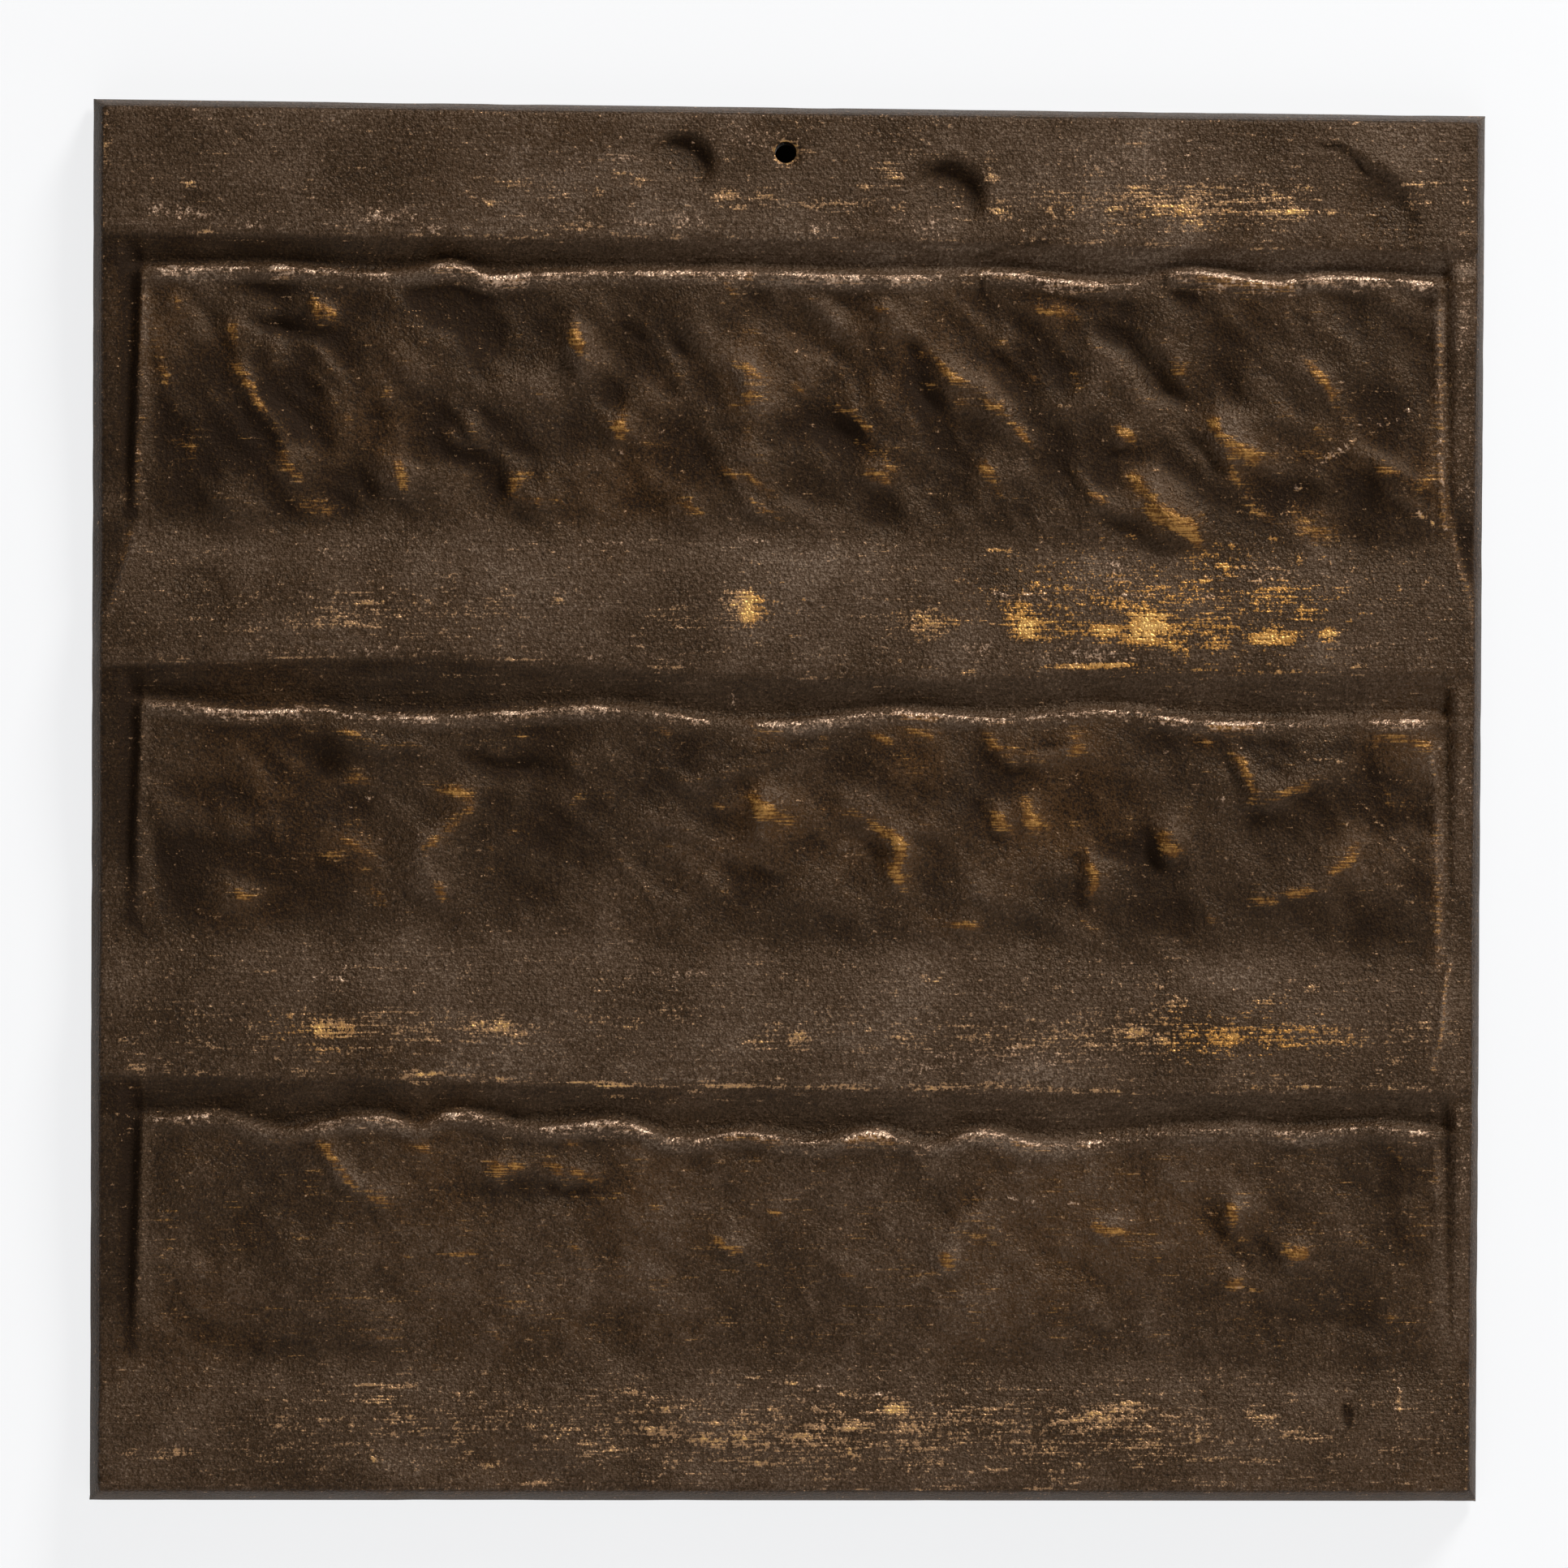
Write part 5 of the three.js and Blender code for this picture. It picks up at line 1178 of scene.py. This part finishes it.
class Nodes:
    """Short names for the shader nodes that the materials use."""

    def __init__(self, material):
        material.use_nodes = True
        self.tree = material.node_tree
        self.tree.nodes.clear()

    def add(self, kind, **settings):
        node = self.tree.nodes.new(kind)
        for key, value in settings.items():
            setattr(node, key, value)
        return node

    def put(self, socket, value):
        if isinstance(value, bpy.types.NodeSocket):
            self.tree.links.new(value, socket)
        else:
            socket.default_value = value

    def made(self, node, *values):
        """The node's first output, with the values put into its inputs in order."""
        for socket, value in zip(node.inputs, values):
            self.put(socket, value)
        return node.outputs[0]

    def attribute(self, name):
        return self.add("ShaderNodeAttribute", attribute_name=name).outputs["Fac"]

    def math(self, operation, a, b):
        return self.made(self.add("ShaderNodeMath", operation=operation), a, b)

    def grain(self, scale, detail, roughness):
        """Noise about 0 with a spread of about 1; scale is in repeats per metre, or one for each axis."""
        node = self.add("ShaderNodeTexNoise")
        mapping = self.add("ShaderNodeMapping", vector_type="POINT")
        self.put(mapping.inputs["Vector"], self.add("ShaderNodeTexCoord").outputs["Object"])
        mapping.inputs["Scale"].default_value = scale if isinstance(scale, tuple) else (scale,) * 3
        self.put(node.inputs["Vector"], mapping.outputs[0])
        node.inputs["Scale"].default_value = 1.0
        node.inputs["Detail"].default_value = detail
        node.inputs["Roughness"].default_value = roughness
        return self.math("MULTIPLY", self.math("SUBTRACT", node.outputs["Fac"], 0.5), 10.0)

    def total(self, *parts):
        """The sum of (value, weight) parts."""
        result = 0.0
        for value, weight in parts:
            node = self.add("ShaderNodeMath", operation="MULTIPLY_ADD")
            result = self.made(node, value, weight, result)
        return result

    def seen(self, mask, broken, softness):
        """How much bare metal shows: hardly any where the mask is 0, nearly all of it where it is 1."""
        level = self.total((mask, 5.2), (broken, 1.0), (1.0, -3.0))
        return self.spread(level, -softness, softness)

    def spread(self, value, low, high, to_low=0.0, to_high=1.0):
        node = self.add("ShaderNodeMapRange", interpolation_type="SMOOTHSTEP")
        return self.made(node, value, low, high, to_low, to_high)

    def blend(self, share, a, b, kind="RGBA"):
        node = self.add("ShaderNodeMix", data_type=kind)
        first, result = {"FLOAT": (2, 0), "RGBA": (6, 2)}[kind]
        self.put(node.inputs[0], share)
        self.put(node.inputs[first], a)
        self.put(node.inputs[first + 1], b)
        return node.outputs[result]

    def bump(self, height, distance):
        node = self.add("ShaderNodeBump")
        self.put(node.inputs["Height"], height)
        node.inputs["Distance"].default_value = distance
        return node.outputs[0]

    def finish(self, surface):
        self.put(self.add("ShaderNodeOutputMaterial").inputs["Surface"], surface)


HOLLOW_BROWN = (0.0080, 0.0028, 0.0007, 1)
FIELD_BROWN = (0.0258, 0.0117, 0.0034, 1)
RUSTY_BROWN = (0.0500, 0.0205, 0.0042, 1)
BAND_BROWN = (0.0605, 0.0345, 0.0192, 1)
DUSTY_BROWN = (0.1600, 0.1100, 0.0760, 1)
DEEP_AMBER = (0.1150, 0.0450, 0.0085, 1)
AMBER_METAL = (0.3700, 0.1850, 0.0480, 1)
PEACH_METAL = (0.3400, 0.1950, 0.1000, 1)
ORANGE_METAL = (0.4600, 0.2150, 0.0520, 1)
GOLD_METAL = (0.7600, 0.4300, 0.1350, 1)
ROSE_METAL = (0.3000, 0.1750, 0.1050, 1)
PALE_METAL = (0.5400, 0.3700, 0.2550, 1)
WARM_GLOSS = (1.0, 0.76, 0.55, 1)

HOLLOW_ROUGHNESS, PATINA_ROUGHNESS, METAL_ROUGHNESS = 0.85, (0.46, 0.58), 0.38


def bronze_material():
    material = bpy.data.materials.new("patinated_bronze_worn")
    n = Nodes(material)
    gold, warmth, amber, rust, shine, tone, brushed = (
        n.attribute(name) for name in ("gold", "warmth", "amber", "rust", "shine", "tone", "brushed"))
    clouds = n.grain(60, 3, 0.55)
    mottle = n.grain(300, 3, 0.6)
    crumbs = n.grain(700, 2, 0.6)
    pebbles = n.grain(1700, 1, 0.5)
    dust = n.grain(3200, 1, 0.5)
    hairs = n.grain((140, 600, 2700), 2, 0.6)
    sweeps = n.grain((80, 400, 1300), 1, 0.5)

    # Patina, with the tone's painted light and shade: darkest in hollows and painted shade, brown on the
    # fields, greyer on the bands, palest on the grain's tips.
    speckle = (clouds, 0.035), (mottle, 0.025), (crumbs, 0.02), (pebbles, 0.09), (dust, 0.10)
    shade = n.total((tone, 1), *speckle)
    shade = n.total((shade, 1), (n.math("MULTIPLY", hairs, brushed), 0.045))
    stain = n.total((rust, 0.9), (n.grain(28, 2, 0.5), 0.22), (crumbs, 0.10), (1.0, -0.04))
    field = n.blend(n.spread(stain, 0.0, 1.0), FIELD_BROWN, RUSTY_BROWN)
    dark = n.blend(n.spread(shade, 0.0, 0.42), HOLLOW_BROWN, field)
    patina = n.blend(n.spread(shade, 0.34, 0.72), dark, BAND_BROWN)
    patina = n.blend(n.spread(shade, 0.68, 1.1), patina, DUSTY_BROWN)

    # Bare metal: the masks say how much of it shows, and the noise where, in crumbs and hairlines.
    streaky = n.total((crumbs, 0.55), (pebbles, 0.55), (dust, 0.4), (hairs, 0.65), (sweeps, 0.35))
    hatched = n.total((mottle, 0.2), (crumbs, 0.35), (pebbles, 0.3), (dust, 0.3), (hairs, 0.75))
    gold_seen = n.seen(gold, streaky, 0.8)
    amber_seen = n.seen(amber, hatched, 1.3)
    # The shine mask is pale worn metal and painted highlight; both take the rose and pale metal colours.
    flecks = n.total((crumbs, 0.55), (pebbles, 0.45), (dust, 0.45), (hairs, 0.3))
    shine_seen = n.seen(shine, flecks, 1.2)
    whiter = n.spread(n.total((shine, 2.0), (crumbs, 0.35), (pebbles, 0.25)), 0.6, 2.0)
    bright = n.spread(n.total((amber, 0.6), (hairs, 0.3), (pebbles, 0.12)), 0.25, 1.05)
    colour = n.blend(amber_seen, patina, n.blend(bright, DEEP_AMBER, AMBER_METAL))
    warmer = n.spread(n.total((warmth, 1.0), (mottle, 0.08)), 0.1, 0.6)
    purest = n.spread(n.total((gold, 1.0), (crumbs, 0.10), (hairs, 0.14), (pebbles, 0.08)), 0.62, 1.15)
    metal = n.blend(purest, n.blend(warmer, PEACH_METAL, ORANGE_METAL), GOLD_METAL)
    colour = n.blend(gold_seen, colour, metal)
    colour = n.blend(shine_seen, colour, n.blend(whiter, ROSE_METAL, PALE_METAL))
    bare = n.math("MAXIMUM", gold_seen, n.math("MULTIPLY", amber_seen, 0.5))
    bare = n.math("MAXIMUM", bare, shine_seen)

    # Cast grain and brushing, in millimetres of height.
    relief = n.total((mottle, 0.022), (crumbs, 0.018), (pebbles, 0.034), (dust, 0.016))
    relief = n.total((relief, 1), (n.math("MULTIPLY", hairs, brushed), 0.012))
    normal = n.bump(relief, MM)

    shader = n.add("ShaderNodeBsdfPrincipled")
    n.put(shader.inputs["Base Color"], colour)
    n.put(shader.inputs["Metallic"], n.math("MULTIPLY", bare, 0.7))
    out_of_hollows = n.spread(tone, 0.12, 0.4)
    rough = n.blend(out_of_hollows, HOLLOW_ROUGHNESS, n.spread(clouds, -2, 2, *PATINA_ROUGHNESS), "FLOAT")
    n.put(shader.inputs["Roughness"], n.blend(bare, rough, METAL_ROUGHNESS, "FLOAT"))
    shader.inputs["Specular IOR Level"].default_value = 0.30
    shader.inputs["Specular Tint"].default_value = WARM_GLOSS
    n.put(shader.inputs["Normal"], normal)
    n.finish(shader.outputs[0])
    return material


def make_relief():
    piece = bpy.data.objects.new("relief_plate_bronze", plate_mesh())
    bpy.context.scene.collection.objects.link(piece)
    piece.data.materials.append(bronze_material())
    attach(piece, "root")
    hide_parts("relief_plate")


make_relief()

# ---- stage: a white wall, a pale floor, soft light and the camera; in metres ----

WALL_GAP = 0.0012
WALL_SIZE = 3.0
WALL_GREY = (0.19, 0.19, 0.19, 1)  # under the wall's own glow, which keeps the plaque's shadow faint
WALL_GLOW = 0.78
GLOW_WHITE = (0.985, 0.99, 1.0, 1)
FLOOR_WHITE = (0.93, 0.935, 0.94, 1)
FLOOR_DROP = 0.6
SHADE_DISC_RADIUS, SHADE_DISC_GAP, SHADE_DISC_SIDES = 0.004, 0.0004, 24  # a dark disc of painted shade on the wall behind the hanging hole, seen through it
SHADE_DISC_BLACK = (0.012, 0.010, 0.008, 1)

# Soft square lights, aimed at the plaque: name, place, size, watts.
LIGHTS = [
    ("key", (0.85, -0.8, 1.45), 0.5, 40),
    ("fill", (-0.4, -2.2, 0.2), 1.6, 4),
    ("rear", (0.5, 1.8, 0.6), 1.2, 30),
]
WORLD_LIGHT = 0.18

CAMERA_DISTANCE = 1.3  # from the brinks of the bands
SENSOR = 36.0  # millimetres
FRAME_WIDTH = 0.2813  # what the picture takes in at the plaque's face
AIM = (-0.0003, 0.0033)


def plain_material(name, colour, glow=0.0, one_sided=False):
    material = bpy.data.materials.new(name)
    n = Nodes(material)
    shader = n.add("ShaderNodeBsdfPrincipled")
    shader.inputs["Base Color"].default_value = colour
    shader.inputs["Roughness"].default_value = 1.0
    shader.inputs["Specular IOR Level"].default_value = 0.0
    shader.inputs["Emission Color"].default_value = GLOW_WHITE
    shader.inputs["Emission Strength"].default_value = glow
    surface = shader.outputs[0]
    if one_sided:
        swap = n.add("ShaderNodeMixShader")
        behind = n.add("ShaderNodeNewGeometry").outputs["Backfacing"]
        surface = n.made(swap, behind, surface, n.add("ShaderNodeBsdfTransparent").outputs[0])
    n.finish(surface)
    return material


def sheet(name, points, material, shadow=True):
    mesh = bpy.data.meshes.new(name)
    mesh.from_pydata(points, [], [range(len(points))])
    mesh.materials.append(material)
    piece = bpy.data.objects.new(name, mesh)
    bpy.context.scene.collection.objects.link(piece)
    piece.visible_shadow = shadow


def make_stage():
    low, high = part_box("relief_plate")
    half = WALL_SIZE / 2
    floor_z = low.z - FLOOR_DROP
    wall_y = high.y + WALL_GAP
    square = [(-half, -half), (half, -half), (half, half), (-half, half)]
    sheet("wall", [(x, wall_y, max(z, floor_z)) for x, z in square],
          plain_material("wall_white", WALL_GREY, WALL_GLOW, one_sided=True), shadow=False)
    # A dark disc of painted shade on the wall behind the hanging hole, where only shade would be.
    turns = [2 * math.pi * k / SHADE_DISC_SIDES for k in range(SHADE_DISC_SIDES)]
    circle = [(HOLE["x"] * MM + SHADE_DISC_RADIUS * math.cos(a), wall_y - SHADE_DISC_GAP,
               HOLE["z"] * MM + SHADE_DISC_RADIUS * math.sin(a)) for a in turns]
    sheet("hole_shade_disc", circle, plain_material("hole_shade_disc_dark", SHADE_DISC_BLACK, one_sided=True), shadow=False)
    sheet("floor", [(x, y, floor_z) for x, y in square], plain_material("floor_white", FLOOR_WHITE))


def light_stage():
    for name, place, size, watts in LIGHTS:
        light = bpy.data.lights.new(name, "AREA")
        light.shape = "SQUARE"
        light.size = size
        light.energy = watts
        lamp = bpy.data.objects.new(name, light)
        lamp.location = place
        lamp.rotation_euler = (-Vector(place)).to_track_quat("-Z", "Y").to_euler()
        bpy.context.scene.collection.objects.link(lamp)
    world = bpy.data.worlds.new("studio")
    world.use_nodes = True
    background = world.node_tree.nodes["Background"]
    background.inputs["Color"].default_value = (1, 1, 1, 1)
    background.inputs["Strength"].default_value = WORLD_LIGHT
    bpy.context.scene.world = world


def place_camera():
    data = bpy.data.cameras.new("camera")
    data.sensor_width = SENSOR
    data.lens = SENSOR * CAMERA_DISTANCE / FRAME_WIDTH
    data.clip_end = 50
    camera = bpy.data.objects.new("camera", data)
    camera.location = (AIM[0], -CAMERA_DISTANCE - BRINK * MM, AIM[1])
    camera.rotation_euler = (math.pi / 2, 0, 0)
    bpy.context.scene.collection.objects.link(camera)
    bpy.context.scene.camera = camera


make_stage()
light_stage()
place_camera()
bpy.context.scene.view_settings.view_transform = "Standard"
